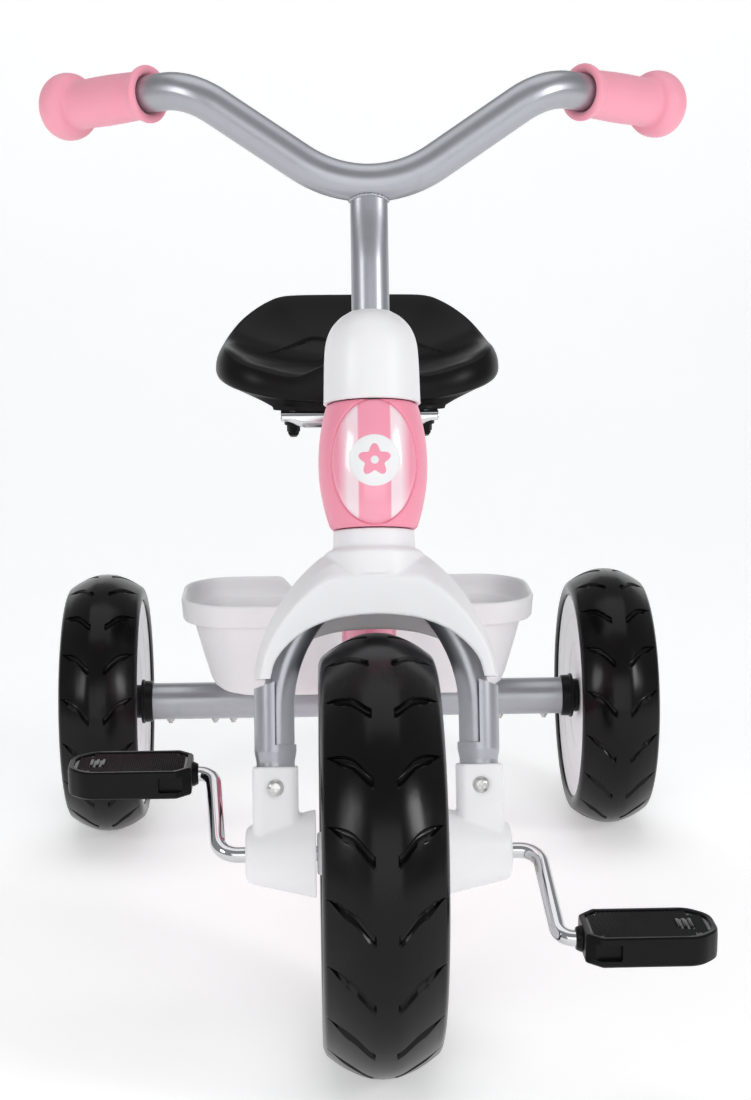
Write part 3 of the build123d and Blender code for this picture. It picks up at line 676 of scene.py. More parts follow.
def knurl(name, floor, up, place):
    """A pad with diagonal rows of small pyramids and three raised bars near its outer end."""
    outline = pedal_outline(3.4)
    vertices, faces = [], []

    def solid(points, top_faces):
        start = len(vertices)
        vertices.extend(points)
        faces.extend([tuple(start + i for i in face) for face in top_faces])

    lattice = 2.05
    base = floor + up * 0.5
    tip = floor + up * 1.5
    half = lattice * 0.5
    for i in range(-40, 41):
        for j in range(-40, 41):
            x = 144.0 + (i - j) * lattice * 0.62
            y = (i + j) * lattice * 0.5
            if not (112.6 < x < 175.4 and abs(y) < 18.6):
                continue
            if x < 117.5 and abs(y) > 14.5 or x > 167.0 and abs(y) > 13.0:
                continue
            if abs(x - 164.0) < 4.6 and abs(y) < 8.0:
                continue
            corners = [(x - half * 1.2, y), (x, y - half), (x + half * 1.2, y), (x, y + half)]
            points = [(cx, cy, base) for cx, cy in corners] + [(x, y, tip)]
            solid(points, [(0, 1, 4), (1, 2, 4), (2, 3, 4), (3, 0, 4), (3, 2, 1, 0)])
    pad = prism(name + "_base", outline, min(floor, base + up * 0.1), max(floor, base + up * 0.1), place)
    bumps = new_object(name + "_bumps", vertices, faces, place, 20.0)
    bars = []
    for index, x in enumerate((160.6, 164.0, 167.4)):
        bar = rounded([(x - 0.9, -6.0, 0.7), (x + 0.9, -6.0, 0.7), (x + 0.9, 6.0, 0.7), (x - 0.9, 6.0, 0.7)])
        ends = sorted((floor + up * 0.2, floor + up * 1.8))
        bars.append(prism(f"{name}_bar{index}", bar, ends[0], ends[1], place, 0.4))
    return joined(name, [pad, bumps, *bars])


def build_pedal(side, sign):
    spin = Vector(joints[f"{side}_pedal_spin"]["pos_m"])
    place = Matrix.Translation((0, spin.y, spin.z)) @ SCALE @ Matrix.Diagonal((sign, 1, 1, 1))
    outer = pedal_outline(0.2)
    inner = pedal_outline(3.2)
    bulge = pedal_outline(0.0)
    rim = pedal_outline(1.0)
    lip = pedal_outline(2.6)
    floor = 6.5
    levels = [
        (inner, -floor),
        (inner, -7.9),
        (lip, -8.3),
        (rim, -8.3),
        (outer, -7.4),
        (bulge, -5.0),
        (bulge, 5.0),
        (outer, 7.4),
        (rim, 8.3),
        (lip, 8.3),
        (inner, 7.9),
        (inner, floor),
    ]
    body = loft(f"{side}_pedal_shell", [[(x, y, z) for x, y in ring] for ring, z in levels], place)
    for y in (-1, 1):
        window = prism(
            "window",
            rounded([(113.0, -4.6, 1.0), (127.0, -4.6, 1.0), (127.0, 4.6, 1.0), (113.0, 4.6, 1.0)]),
            0,
            5.0,
            place @ Matrix.Translation((0, y * 24.5, 0)) @ Matrix.Rotation(radians(90.0 * y), 4, "X"),
        )
        cut(body, window)
    put(body, f"{side}_pedal_body", MATERIALS["black_plastic"])
    treads = joined(
        f"{side}_pedal_knurl",
        [knurl(f"{side}_top_pad", floor, 1, place), knurl(f"{side}_bottom_pad", -floor, -1, place)],
    )
    put(treads, f"{side}_pedal_treads", TREAD_BLACK)
    collar = [(4.6, 104.6, 0.3), (6.0, 104.6, 1.2), (7.2, 107.0, 0.6), (7.4, 108.1, 0.3), (4.6, 108.1, 0.3)]
    ring = lathe(f"{side}_pedal_ring", rounded(collar, 4), about_x(Vector((0, spin.y, spin.z)), sign), 64)
    put(ring, f"{side}_pedal_collar", MATERIALS["black_plastic"])


# ---------------------------------------------------------------- head, cap and badge
COVER_BOTTOM, COVER_MIDDLE, COVER_TOP = 184.3, 222.0, 256.5
BADGE_CENTRE, BADGE_HALF_WIDTH, BADGE_HALF_HEIGHT = 221.0, 24.0, 35.0


def barrel_radius(s):
    """The head cover's outside radius at height s: an arc through three radii."""
    if s < COVER_MIDDLE:
        t = (COVER_MIDDLE - s) / (COVER_MIDDLE - COVER_BOTTOM)
        return 31.5 - 6.7 * t**2
    t = (s - COVER_MIDDLE) / (COVER_TOP - COVER_MIDDLE)
    return 31.5 - 5.1 * t**2


def build_head_cover():
    """The barrel, grooved round the oval badge on its front."""
    sides, levels = 460, 150
    rings = []
    for side in range(sides):
        angle = 2 * pi * side / sides
        ring = [(18.2 * cos(angle), 18.2 * sin(angle), s) for s in (COVER_TOP - 0.2, COVER_BOTTOM + 0.2)]
        for level in range(levels + 1):
            s = COVER_BOTTOM + (COVER_TOP - COVER_BOTTOM) * level / levels
            r = barrel_radius(s)
            edge = min(s - COVER_BOTTOM, COVER_TOP - s)
            r -= 0.9 * (1 - smoothstep(0.0, 1.6, edge))
            x, y = r * sin(angle), -r * cos(angle)
            if y < 0:
                oval = Vector((x / (BADGE_HALF_WIDTH + 1.0), (s - BADGE_CENTRE) / (BADGE_HALF_HEIGHT + 1.0))).length
                r -= 1.7 * smoothstep(1.01, 0.985, oval)
            ring.append((r * sin(angle), -r * cos(angle), s))
        rings.append(ring)
    cover = loft("head_barrel", rings, COLUMN, closed=True, sharp_angle=50.0)
    put(cover, "head_cover", MATERIALS["pink_plastic"])


def badge_patch(name, outline, rings, inner_offset, edge_drop, back):
    """A plate that follows the barrel: outline(angle) gives its half sizes, rings its steps inwards."""
    count = 144
    front, rear = [], []
    for share in rings:
        ring = []
        for k in range(count):
            angle = 2 * pi * k / count
            wide, tall = outline(angle)
            x, s = wide * share, BADGE_CENTRE + tall * share
            lift = inner_offset - edge_drop * smoothstep(0.955, 1.0, share)
            ring.append((x, -sqrt((barrel_radius(s) + lift) ** 2 - x * x), s))
        front.append(ring)
    for k in range(count):
        wide, tall = outline(2 * pi * k / count)
        s = BADGE_CENTRE + tall
        rear.append((wide, -sqrt((barrel_radius(s) - back) ** 2 - wide * wide), s))
    return loft(name, [*front, rear], COLUMN, sharp_angle=60.0)


def build_badge():
    steps = [0.02, 0.1, 0.2, 0.3, 0.4, 0.5, 0.6, 0.7, 0.8, 0.88, 0.93, 0.955, 0.97, 0.98, 0.99, 1.0]
    oval = badge_patch(
        "badge_plate",
        lambda angle: (BADGE_HALF_WIDTH * cos(angle), BADGE_HALF_HEIGHT * sin(angle)),
        steps,
        0.35,
        0.9,
        1.45,
    )
    put(oval, "head_badge", BADGE_PRINT)

    def disc(radius, waves=0.0):
        """The half sizes of a round patch, or of five petals where waves is more than 0."""
        return lambda angle: [
            radius * (1 - waves + waves * cos(5 * (angle - pi / 2))) * part for part in (cos(angle), sin(angle))
        ]

    steps = [0.02, 0.2, 0.4, 0.6, 0.8, 0.9, 0.96, 0.98, 1.0]
    emblem = badge_patch("badge_disc", disc(14.6), steps, 0.5, 0.1, -0.2)
    add(emblem, "frame", MATERIALS["white_plastic"])
    petals = badge_patch("badge_flower", disc(9.4, 0.19), steps, 0.62, 0.06, -0.4)
    add(petals, "frame", MATERIALS["pink_plastic"])
    heart = badge_patch("badge_flower_heart", disc(2.3), steps, 0.74, 0.06, -0.5)
    add(heart, "frame", MATERIALS["white_plastic"])


def build_steering_cap():
    """The bullet cap with a rolled lower rim and a soft shoulder."""
    outside = smooth_line([(28.0, 258.2), (27.75, 270.0), (27.3, 284.0), (26.2, 293.5), (23.2, 301.2), (18.2, 307.0), (13.2, 310.3)], 10)
    outline = [(25.2, 257.6), (25.9, 257.05), (27.6, 257.05), (28.15, 257.5), *[tuple(p) for p in outside]]
    outline += [(12.2, 310.9), (11.3, 310.5), (11.3, 292.0), (24.3, 284.0), (25.0, 262.0)]
    cap = lathe("cap_shell", outline, COLUMN, sides=160, sharp_angle=50.0)
    put(cap, "steering_cap", MATERIALS["white_plastic"])


# ---------------------------------------------------------------- handlebar and grips
BAR_HEIGHT, BAR_RADIUS = 389.3, 11.1
BAR_CURVE_RADIUS, BAR_CURVE_CENTRE = 70.0, 457.6


def build_grips():
    """Rubber grips: a flange with a recessed mouth, a slim waist and a round knob."""
    for side, sign in (("left", 1), ("right", -1)):
        sweep, droop = radians(38.0), radians(5.0)
        direction = Vector((sign * cos(sweep) * cos(droop), sin(sweep) * cos(droop), -sin(droop)))
        bend = COLUMN @ Vector((sign * 105.0, 0, BAR_HEIGHT + 55.5))
        x_axis = direction.orthogonal().normalized()
        place = frame_from_axes(bend + direction * 29.0 * MM, x_axis, direction.cross(x_axis), direction)
        outside = [(15.6, 0.3), (16.8, 1.2), (17.0, 2.6), (16.4, 4.4), (14.9, 6.6), (14.2, 10.0), (14.5, 18.0)]
        outside += [(14.9, 32.0), (14.8, 46.0), (14.5, 54.5), (15.2, 57.6), (17.6, 59.6), (19.5, 62.6), (20.4, 66.8)]
        outside += [(20.0, 71.4), (18.0, 75.6), (14.4, 78.5), (8.6, 79.8), (0.0, 80.0)]
        line = [tuple(point) for point in smooth_line(outside, 6)]
        outline = [(11.25, 3.2), (12.3, 1.2), (13.4, 0.25), (14.6, 0.05), *line, (0.0, 72.2), (11.25, 72.2)]
        grip = lathe(f"{side}_grip_rubber", outline, place, sides=128, sharp_angle=60.0)
        put(grip, f"{side}_grip", MATERIALS["pink_rubber"])


def bead(name, line, radius, place, seed=0.0):
    """A painted weld bead along a closed line, with the ripples of its passes."""
    ripple = [radius * (1 + 0.16 * sin(i * 1.9 + seed) + 0.08 * sin(i * 0.7)) for i in range(len(line))]
    obj = tube(name, line, lambda i: ripple[i], place, sides=14, closed=True)
    return obj


def under_bar(x, y):
    """The height of the bar's underside over a point of the column's cross-section."""
    below = BAR_CURVE_RADIUS + sqrt(BAR_RADIUS**2 - y * y)
    return BAR_CURVE_CENTRE - sqrt(below**2 - x * x)


def build_stem():
    """The stem tube, pressed flatter front to back where it is welded under the bar."""
    sides, flat = 96, 7.4
    turn = [2 * pi * k / sides for k in range(sides)]
    outside, inside = [], []
    for s in [195.0, 260.0, 320.0, 338.0, *range(342, 375, 3)]:
        half_depth = 11.0 - (11.0 - flat) * smoothstep(338.0, 374.0, s)
        outside.append([(11.0 * sin(a), half_depth * cos(a), s) for a in turn])
        inside.append([(9.2 * sin(a), (half_depth - 1.8) * cos(a), s) for a in turn])
    top = [(11.0 * sin(a), flat * cos(a)) for a in turn]
    outside.append([(x, y, under_bar(x, y) + 0.6) for x, y in top])
    stem = loft("stem_shell", [*reversed(inside), *outside], COLUMN)
    put(stem, "stem_tube", MATERIALS["silver_paint"])
    around = [2 * pi * k / 120 for k in range(120)]
    line = [(11.1 * sin(a), (flat + 0.1) * cos(a)) for a in around]
    obj = bead("stem_weld", [(x, y, under_bar(x, y) - 0.3) for x, y in line], 0.95, COLUMN)
    add(obj, "steering", MATERIALS["silver_paint"])


# ---------------------------------------------------------------- fork and fender
def fender_arch(t):
    """Points on the outer and the lower arch for t from -1 to 1, left to right, as (x, s)."""
    outer = line_of_outer(abs(t))
    inner = line_of_inner(abs(t))
    sign = 1 if t >= 0 else -1
    return (sign * outer.x, outer.y), (sign * inner.x, inner.y)


OUTER_ARCH = smooth_line([(0, 171.0), (14, 171.0), (26.5, 170.6), (37, 163.4), (50, 149.2), (60.5, 132.0), (67, 115.0), (70.3, 99.0)], 12)
INNER_ARCH = smooth_line([(0, 134.6), (11, 134.0), (22, 132.4), (32, 129.4), (41, 125.0), (50, 118.0), (57, 109.0), (60, 99.0)], 12)


def point_on(line, share):
    position = share * (len(line) - 1)
    index = min(int(position), len(line) - 2)
    return line[index].lerp(line[index + 1], position - index)


def line_of_outer(share):
    return point_on(OUTER_ARCH, share)


def line_of_inner(share):
    return point_on(INNER_ARCH, share)


def build_fender():
    """A hollow arch with a rounded top band, a flat crescent front, and a neck over a round collar."""
    wall = 2.4
    half = 26.9
    rings = []
    for step in range(97):
        outer, inner = fender_arch(step / 48 - 1)
        outer, inner = Vector(outer), Vector(inner)
        reach = (inner - outer).length
        into = (inner - outer) / reach
        crease = reach * 0.42
        rear = reach + 6.5 * (1 - (step / 48 - 1) ** 2)
        section = [
            (half, min(5.0, reach * 0.4)),
            (half - 1.4, min(1.6, reach * 0.16)),
            (half - 5.0, 0.0),
            (0.0, 0.0),
            (-half + 20.0, crease * 0.10),
            (-half + 9.0, crease * 0.48),
            (-half + 1.8, crease * 0.86),
            (-half, crease),
            (-half, reach - 0.8),
            (-half + 0.6, reach),
            (-half + wall, reach),
            (-half + wall, crease + wall),
            (-half + 9.0, crease * 0.48 + wall * 1.2),
            (-half + 20.0, crease * 0.10 + wall),
            (0.0, wall),
            (half - wall - 2.0, wall),
            (half - wall, wall + 1.5),
            (half - wall, rear),
            (half, rear),
        ]
        rings.append([(outer.x + into.x * d, y, outer.y + into.y * d) for y, d in section])
    arch = loft("arch", rings, COLUMN)
    neck = lathe(
        "neck",
        rounded(
            [
                (13.2, 157.5, 0),
                (28.4, 157.5, 0.6),
                (28.3, 170.6, 1.6),
                (25.6, 172.4, 0.8),
                (23.6, 173.0, 1.0),
                (23.35, 183.7, 0.8),
                (13.2, 183.7, 0.4),
            ],
            4,
        ),
        COLUMN,
        96,
    )
    fender = melted(joined("fender_shell", [arch, neck]), 0.8, 3)
    put(fender, "fender", BASKET_WHITE)


def phillips_screw(name, place, radius, height):
    """A domed screw head with a cross recess; local z points out of the surface."""
    dome = [(0, -0.6, 0), (radius, -0.6, 0), (radius, height * 0.25, 0.3), (radius * 0.6, height * 0.85, 1.0), (0, height, 0)]
    head = lathe(name, rounded(dome, 4), place, 48)
    arm, width = radius * 0.56, radius * 0.17
    corners = [(arm, -width), (arm, width), (width, width), (width, arm), (-width, arm), (-width, width)]
    corners += [(-arm, width), (-arm, -width), (-width, -width), (-width, -arm), (width, -arm), (width, -width)]
    cross = prism(name + "_cross", corners, height * 0.2, height + 1.0, place)
    return cut(head, cross)


def column_point(x, y, s, z_axis):
    """A frame at a column point with its z along a column direction."""
    z_axis = (COLUMN.to_3x3() @ Vector(z_axis)).normalized()
    x_axis = ACROSS if abs(z_axis.x) < 0.9 else Vector((0, 0, 1))
    x_axis = (x_axis - z_axis * x_axis.dot(z_axis)).normalized()
    return frame_from_axes(COLUMN @ Vector((x, y, s)), x_axis, z_axis.cross(x_axis), z_axis)


def build_fork():
    for side, sign in (("left", 1), ("right", -1)):
        cover = melted(copy_of(f"{side}_fork_cover", f"{side}_foot_moulding"), 0.7, 14)
        put(cover, f"{side}_fork_cover", MATERIALS["white_plastic"])
        crown = copy_of(f"{side}_fork_tube", f"{side}_crown_tube")
        end = tube(f"{side}_crown_end", [(sign * 56.0, 0, s) for s in (50.0, 56.0, 62.0, 68.0)], 8.95, COLUMN, 64)
        put(joined(f"{side}_fork_bar", [crown, end]), f"{side}_fork_tube", MATERIALS["silver_paint"])
    heads = [phillips_screw(f"foot_screw{i}", column_point(x, -13.0, 38.0, (0, -1, 0)), 4.7, 2.0) for i, x in enumerate((-58.0, 58.0))]
    put(joined("foot_screw_heads", heads), "fork_cover_screws", MATERIALS["zinc_steel"])


# ---------------------------------------------------------------- seat
SEAT_LOW, SEAT_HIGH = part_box("seat")
SEAT_FRONT = SEAT_LOW.y / MM
SEAT_BACK = SEAT_HIGH.y / MM


def seat_plan(angle):
    """The outline from above at an angle: a squared ellipse, deeper at the back."""
    wide = 103.4
    deep = 66.0 if sin(angle) < 0 else 79.9
    power = 3.0 if sin(angle) < 0 else 3.2
    c, s = abs(cos(angle)), abs(sin(angle))
    r = (c / wide) ** power + (s / deep) ** power
    r = r ** (-1 / power)
    return Vector((r * cos(angle), SEAT_FRONT + 66.0 + r * sin(angle)))


SEAT_BACK_CREST = [(0, 415.6), (40, 415.4), (55, 414.2), (65, 410.5), (75, 404.8), (84, 397.8), (91, 390.0), (95, 384.0)]
SEAT_FRONT_CREST = [(0, 380.5), (14, 379.0), (27, 373.0), (42, 367.2), (56, 368.2), (70, 372.0), (84, 376.4), (95, 384.0)]
BACK_CREST_LINE = smooth_line(SEAT_BACK_CREST, 8)
FRONT_CREST_LINE = smooth_line(SEAT_FRONT_CREST, 8)


def seat_crest(x, y):
    """The rolled rim's height: a pommel and thigh dips in front, rising wings and a high back."""
    back = smoothstep(SEAT_FRONT + 44.0, SEAT_FRONT + 84.0, y)
    low = line_at([tuple(p) for p in FRONT_CREST_LINE], abs(x))
    high = line_at([tuple(p) for p in BACK_CREST_LINE], abs(x))
    return low + (high - low) * back


def seat_pan(x, y):
    """The middle of the seat: nearly flat, with a trace of the pommel and the thigh hollows."""
    forward = smoothstep(SEAT_FRONT + 56.0, SEAT_FRONT + 14.0, y)
    pommel = 4.0 * exp(-((x / 22.0) ** 2)) * forward
    hollow = 2.0 * exp(-(((abs(x) - 46.0) / 26.0) ** 2)) * forward
    return 368.0 + pommel - hollow


def leaf(x, y):
    """How deep the leaf-shaped recess is at a point: a fine groove round a shallow floor."""
    dx = (abs(x) - 46.0) / 30.0
    dy = (y - (SEAT_FRONT + 89.0 - 0.5 * (abs(x) - 46.0))) / 16.0
    inside = 1 - abs(dx) ** 2.5 - abs(dy)
    groove = exp(-(((inside - 0.06) / 0.06) ** 2))
    return smoothstep(1.0, 0.94, abs(dx)) * (0.9 * smoothstep(0.0, 0.08, inside) + 1.1 * groove)


def build_seat():
    """A moulded saddle: dished top, rolled rim, front fascia, bevelled flank and hollow underside."""
    count = 360
    centre = Vector((0, SEAT_FRONT + 70.0))
    tops = [0.015, *[i / 140 for i in range(2, 141)]]
    columns = []
    for k in range(count):
        angle = 2 * pi * k / count
        belly = seat_plan(angle)
        outward = (belly - centre).normalized()
        backness = smoothstep(-0.2, 0.9, sin(angle))
        frontness = smoothstep(0.1, 0.95, -sin(angle))
        inset = 8.5 - 3.0 * frontness
        crest = belly - outward * inset
        crest_z = seat_crest(crest.x, crest.y)
        power = 1.95 + 1.0 * cos(angle) ** 4 + 0.9 * frontness
        column = []
        for share in tops:
            p = centre.lerp(crest, share)
            pan = seat_pan(p.x, p.y)
            z = pan + (crest_z - pan) * share**power
            z -= leaf(p.x, p.y)
            if share > 0.9:
                z -= 1.2 * ((share - 0.9) / 0.1) ** 3
            column.append(Vector((p.x, p.y, z)))
        belly_z = 366.0 - 14.0 * frontness + 18.0 * backness * (abs(sin(angle)) ** 2)
        belly_z = min(belly_z, crest_z - 9.0)
        flank_z = belly_z - 7.0 + 1.0 * frontness
        flank = belly - outward * 4.0
        foot = Vector((max(-62.0, min(62.0, flank.x * 0.78)), 0))
        foot.y = min(max(flank.y, SEAT_FRONT + 5.0), SEAT_BACK - 40.0)
        side = [
            column[-1],
            Vector((*(belly - outward * (inset * 0.55)), crest_z - 2.6)),
            Vector((*(belly - outward * (inset * 0.12)), (crest_z + belly_z) / 2 - 1.0)),
            Vector((*belly, belly_z)),
            Vector((*(belly - outward * 1.2), belly_z - 4.5)),
            Vector((*flank, flank_z)),
        ]
        skin = smooth_line(side, 6)[1:]
        under = [flank.lerp(foot, share) for share in (0.12, 0.4, 0.7, 0.93, 1.0)]
        foot_z = 341.0 + 3.0 * frontness
        drop = [flank_z + (foot_z - flank_z) * share for share in (0.10, 0.38, 0.68, 0.93, 1.0)]
        low = [Vector((*p, z)) for p, z in zip(under, drop)]
        lip = [Vector((foot.x * 0.985, foot.y, 340.05)), Vector((foot.x * 0.95, centre.y + (foot.y - centre.y) * 0.96, 340.05))]
        hollow = [Vector((p.x * 0.93, centre.y + (p.y - centre.y) * 0.93, 343.5)) for p in (foot,)]
        inner = [Vector((foot.x * share, centre.y + (foot.y - centre.y) * share, 343.8)) for share in (0.6, 0.3, 0.03)]
        columns.append([*column, *skin, *low, *lip, *hollow, *inner])
    rings = [[columns[k][row] for k in range(count)] for row in range(len(columns[0]))]
    seat = loft("saddle", rings, ROW, sharp_angle=55.0)
    put(seat, "seat", MATERIALS["black_seat"])


def build_seat_fittings():
    """The stamped bracket, with its flanges turned down, and the bolts' spacers and cap nuts."""
    low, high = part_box("seat_bracket")
    y0, y1, top = low.y / MM, high.y / MM, high.z / MM - 0.15
    wide = high.x / MM
    section = [
        (y0 + 0.2, -11.0),
        (y0 + 0.2, -3.0),
        (y0 + 1.2, -0.9),
        (y0 + 3.4, 0.0),
        (y1 - 3.4, 0.0),
        (y1 - 1.2, -0.9),
        (y1 - 0.2, -3.0),
        (y1 - 0.2, -11.0),
        (y1 - 2.6, -11.0),
        (y1 - 2.6, -3.6),
        (y1 - 4.2, -2.6),
        (y0 + 4.2, -2.6),
        (y0 + 2.6, -3.6),
        (y0 + 2.6, -11.0),
    ]
    rings = []
    for i in range(41):
        share = i / 20 - 1
        x = wide * share
        ease = 0.36 + 0.64 * smoothstep(0.92, 0.70, abs(share))
        rings.append([(x, y, top + (z if z > -4 else -4.0 + (z + 4.0) * ease)) for y, z in section])
    bracket = loft("bracket_plate", rings, ROW)
    put(eased(bracket, 0.5, 2, 40.0), "seat_bracket", MATERIALS["chrome"])

    nut_low, nut_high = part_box("seat_cap_nuts")
    spacer_low, spacer_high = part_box("seat_spacers")
    nuts, spacers = [], []
    hexagon = [(4.9 * cos(pi / 3 * k), 4.9 * sin(pi / 3 * k)) for k in range(6)]
    bottom = nut_low.z / MM
    for i, x in enumerate((-47.0, 47.0)):
        for j, y in enumerate((spacer_low.y / MM + 6.5, spacer_high.y / MM - 6.5)):
            place = Matrix.Translation(Vector((x, y, 0)) * MM) @ SCALE
            body = [(0, bottom + 4.4, 0), (4.0, bottom + 4.2, 0.6), (3.9, bottom + 2.6, 1.0), (2.4, bottom + 0.3, 1.4), (0, bottom, 0)]
            nuts.append(lathe(f"dome{i}{j}", rounded(body, 5), place, 40))
            nuts.append(prism(f"hex{i}{j}", hexagon, bottom + 4.0, bottom + 10.9, place, 0.6))
            ring = [(3.1, 0), (6.2, 0), (6.5, 0.5), (6.5, 5.3), (6.1, 5.9), (3.1, 5.9)]
            ring = [(r, spacer_low.z / MM + z) for r, z in ring]
            spacers.append(lathe(f"spacer{i}{j}", ring, place, 56))
    put(joined("cap_nuts", nuts), "seat_cap_nuts", MATERIALS["black_plastic"])
    put(joined("bolt_spacers", spacers), "seat_spacers", MATERIALS["black_plastic"])


# ---------------------------------------------------------------- basket
def basket_ring(half_x, half_y, corner, z, centre_y, dip=0.0):
    """A rounded rectangle; dip lowers the middle of its rear side."""
    points = rounded(
        [(half_x, -half_y, corner), (half_x, half_y, corner), (-half_x, half_y, corner), (-half_x, -half_y, corner)], 12
    )
    dense = []
    for i, start in enumerate(points):
        end = points[(i + 1) % len(points)]
        length = Vector(end).__sub__(Vector(start)).length
        pieces = max(1, round(length / 5.0))
        dense += [Vector(start).lerp(Vector(end), k / pieces) for k in range(pieces)]
    ring = []
    for point in dense:
        drop = dip * smoothstep(61.0, 44.0, abs(point.x)) if point.y > half_y - 1.0 else 0.0
        ring.append((point.x, centre_y + point.y, z - drop))
    return ring


def even_ring(half_x, half_y, corner, z, centre_y, dip=0.0, count=240):
    """The same ring sampled at the same fractions for every level, so that levels match."""
    ring = []
    straight_x, straight_y = half_x - corner, half_y - corner
    lengths = [2 * straight_y, 0.5 * pi * corner, 2 * straight_x, 0.5 * pi * corner] * 2
    shares = [26, 16, 62, 16] * 2
    starts = [
        (half_x, -straight_y),
        (straight_x, straight_y),
        (straight_x, half_y),
        (-straight_x, straight_y),
        (-half_x, straight_y),
        (-straight_x, -straight_y),
        (-straight_x, -half_y),
        (straight_x, -straight_y),
    ]
    for leg, (amount, length, (sx, sy)) in enumerate(zip(shares, lengths, starts)):
        for k in range(amount):
            t = k / amount
            if leg % 2:
                angle = pi / 2 * (leg // 2) + t * pi / 2
                x, y = sx + corner * cos(angle), sy + corner * sin(angle)
            else:
                step = [(0, 1), (-1, 0), (0, -1), (1, 0)][leg // 2]
                x, y = sx + step[0] * length * t, sy + step[1] * length * t
            drop = dip * smoothstep(61.0, 43.0, abs(x)) if y > half_y - 1.0 else 0.0
            ring.append((x, centre_y + y, z - drop))
    return ring


def build_basket():
    low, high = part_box("basket")
    centre_y = (low.y + high.y) / 2 / MM
    half_x, half_y = high.x / MM, (high.y - low.y) / 2 / MM
    bottom, top = low.z / MM, high.z / MM
    shelf = top - 17.5
    dip = 15.0
    levels = [
        (34.0, 12.0, 26, bottom + 0.3, 0),
        (29.0, 10.2, 29, bottom + 1.4, 0),
        (24.5, 9.0, 31, bottom + 4.6, 0),
        (21.5, 8.2, 32, bottom + 11.0, 0),
        (17.0, 7.2, 33, bottom + 26.0, 0),
        (12.6, 6.2, 34, bottom + 42.0, 0),
        (9.6, 5.4, 34, shelf - 1.2, 0),
        (8.2, 5.0, 34.5, shelf - 0.4, 0),
        (5.0, 3.0, 36, shelf - 0.2, 0.0),
        (2.2, 1.9, 37, shelf + 0.4, 0.0),
        (1.2, 1.2, 38, shelf + 1.8, 0.05),
        (0.6, 0.6, 38.5, shelf + 10.0, 0.5),
        (0.0, 0.0, 39, top - 2.2, 1),
        (0.25, 0.25, 39, top - 0.8, 1),
        (1.0, 1.0, 38.3, top - 0.1, 1),
        (1.9, 1.9, 37.6, top - 0.1, 1),
        (2.7, 2.7, 37, top - 0.8, 1),
        (3.1, 3.1, 36.6, top - 3.0, 1),
        (3.4, 3.4, 36.4, shelf + 10.0, 0.5),
        (3.8, 3.8, 36, shelf + 4.0, 0.05),
        (5.4, 4.6, 35, shelf + 2.4, 0),
        (9.0, 6.4, 34, shelf + 2.2, 0),
        (11.0, 7.4, 33, shelf + 1.4, 0),
        (12.4, 8.0, 32.4, shelf - 1.6, 0),
        (15.4, 9.0, 31, bottom + 42.0, 0),
        (19.8, 10.0, 30, bottom + 26.0, 0),
        (24.4, 11.0, 29, bottom + 12.0, 0),
        (27.6, 12.0, 28, bottom + 6.4, 0),
        (33.0, 13.4, 26, bottom + 3.4, 0),
        (42.0, 16.0, 22, bottom + 2.6, 0),
    ]
    rings = [
        even_ring(half_x - inset_x, half_y - inset_y, corner, z, centre_y, dip * share)
        for inset_x, inset_y, corner, z, share in levels
    ]
    tub = loft("basket_tub", rings, ROW, sharp_angle=50.0)
    put(tub, "basket", BASKET_WHITE)


# ---------------------------------------------------------------- rear axle
def build_axle_fittings():
    axle = Vector(joints["left_rear_wheel_spin"]["pos_m"])
    centre = Vector((0, axle.y, axle.z))
    for side, sign in (("left", 1), ("right", -1)):
        collar = [
            (5.1, 146.0, 0),
            (12.4, 146.0, 0.5),
            (12.4, 160.1, 0),
            (15.9, 160.1, 0.8),
            (16.1, 166.4, 0.3),
            (17.2, 166.8, 0.5),
            (17.2, 168.8, 0.6),
            (13.0, 169.4, 0.6),
            (13.0, 173.4, 0.6),
            (5.1, 173.4, 0.3),
        ]
        ring = lathe(f"{side}_axle_bush", rounded(collar, 4), about_x(centre, sign), 112)
        put(ring, f"{side}_axle_collar", MATERIALS["black_plastic"])
    heads = []
    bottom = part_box("axle_tube_screws")[0].z
    for i, x in enumerate((-147.0, -112.0, -98.0, 98.0, 112.0, 147.0)):
        origin = Vector((x * MM, axle.y, bottom + 1.9 * MM))
        place = frame_from_axes(origin, ACROSS, Vector((0, -1, 0)), Vector((0, 0, -1)))
        tip = [(0, -0.6, 0), (2.9, -0.6, 0), (2.9, 1.5, 0.6), (1.9, 2.0, 0.3), (1.8, 3.6, 0.8), (0, 3.7, 0)]
        heads.append(lathe(f"under_screw{i}", rounded(tip, 4), place, 40))
    put(joined("under_screws", heads), "axle_tube_screws", MATERIALS["zinc_steel"])


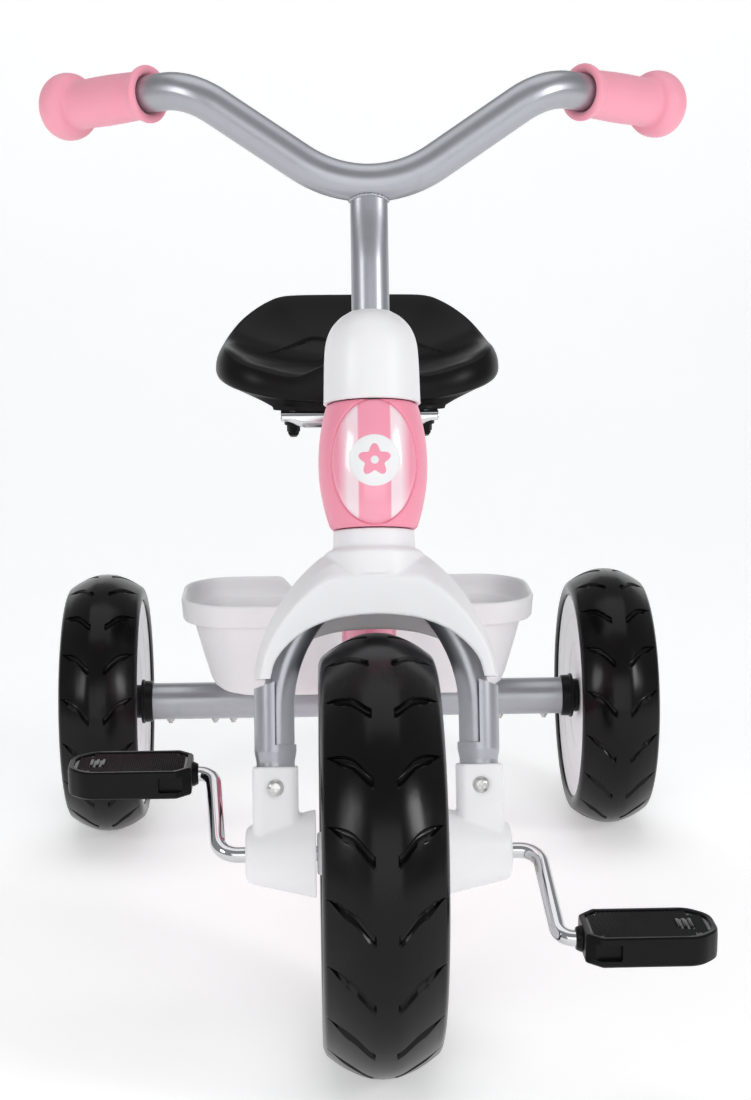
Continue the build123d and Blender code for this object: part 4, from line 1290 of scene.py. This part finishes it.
# ---------------------------------------------------------------- studio
def build_studio():
    """A pale floor that sweeps up into a backdrop, and soft boxes left, right and above."""
    profile = [(-3.0, 0.0), (1.35, 0.0)]
    bend = 1.1
    profile += [(1.35 + bend * sin(a), bend - bend * cos(a)) for a in [pi / 2 * k / 24 for k in range(1, 25)]]
    profile.append((1.35 + bend, 1.5))
    half = 4.0
    vertices = [(x, y, z) for x in (-half, half) for y, z in profile]
    count = len(profile)
    faces = [(i, i + 1, count + i + 1, count + i) for i in range(count - 1)]
    mesh = bpy.data.meshes.new("studio_sweep")
    mesh.from_pydata(vertices, [], faces)
    mesh.shade_smooth()
    sweep = bpy.data.objects.new("studio_sweep", mesh)
    bpy.context.scene.collection.objects.link(sweep)
    sweep.data.materials.append(studio_surface())

    def soft_box(name, place, target, size, power):
        light = bpy.data.lights.new(name, "AREA")
        light.shape = "RECTANGLE"
        light.size, light.size_y = size
        light.energy = power
        lamp = bpy.data.objects.new(name, light)
        bpy.context.scene.collection.objects.link(lamp)
        lamp.location = place
        lamp.rotation_mode = "QUATERNION"
        lamp.rotation_quaternion = (Vector(target) - Vector(place)).to_track_quat("-Z", "Y")

    soft_box("key_box", (1.75, -1.35, 1.15), (0, -0.2, 0.2), (0.5, 0.75), 14)
    soft_box("fill_box", (-1.75, -1.35, 1.1), (0, -0.2, 0.2), (0.55, 0.8), 9)
    soft_box("front_box", (0.1, -2.7, 0.85), (0, 0, 0.25), (2.4, 1.5), 15)
    soft_box("top_box", (0.0, 0.2, 2.3), (0, 0, 0.2), (2.0, 1.6), 10)

    world = bpy.data.worlds.new("studio_air")
    world.use_nodes = True
    world.node_tree.nodes["Background"].inputs["Color"].default_value = (0.95, 0.97, 1.0, 1)
    world.node_tree.nodes["Background"].inputs["Strength"].default_value = 0.33
    bpy.context.scene.world = world
    bpy.context.scene.view_settings.view_transform = "Standard"
    bpy.context.scene.view_settings.look = "None"


def build_camera():
    """The viewing angle: slightly right of the middle, tilted down by about ten degrees."""
    pitch, yaw, roll = 0.18453, 0.03546, -0.00595
    right = Vector((cos(yaw), -sin(yaw), 0))
    ahead = Vector((sin(yaw), cos(yaw), 0))
    up = Vector((0, 0, 1))
    forward = ahead * cos(pitch) - up * sin(pitch)
    lifted = up * cos(pitch) + ahead * sin(pitch)
    x_axis = right * cos(roll) + lifted * sin(roll)
    y_axis = lifted * cos(roll) - right * sin(roll)
    camera = bpy.data.objects.new("camera", bpy.data.cameras.new("camera"))
    bpy.context.scene.collection.objects.link(camera)
    camera.data.sensor_fit = "VERTICAL"
    camera.data.sensor_height = 36.0
    camera.data.lens = 65.12
    camera.data.clip_start = 0.05
    columns = Matrix((x_axis, y_axis, -forward)).transposed().to_4x4()
    camera.matrix_world = Matrix.Translation(Vector((-39.144, -1286.608, 501.887)) * MM) @ columns
    bpy.context.scene.camera = camera


build_front_wheel()
for side_name, side_sign in (("left", 1), ("right", -1)):
    build_rear_wheel(side_name, side_sign)
    build_pedal(side_name, side_sign)
build_head_cover()
build_badge()
build_steering_cap()
build_grips()
build_stem()
build_fender()
build_fork()
build_seat()
build_seat_fittings()
build_basket()
build_axle_fittings()
build_studio()
build_camera()
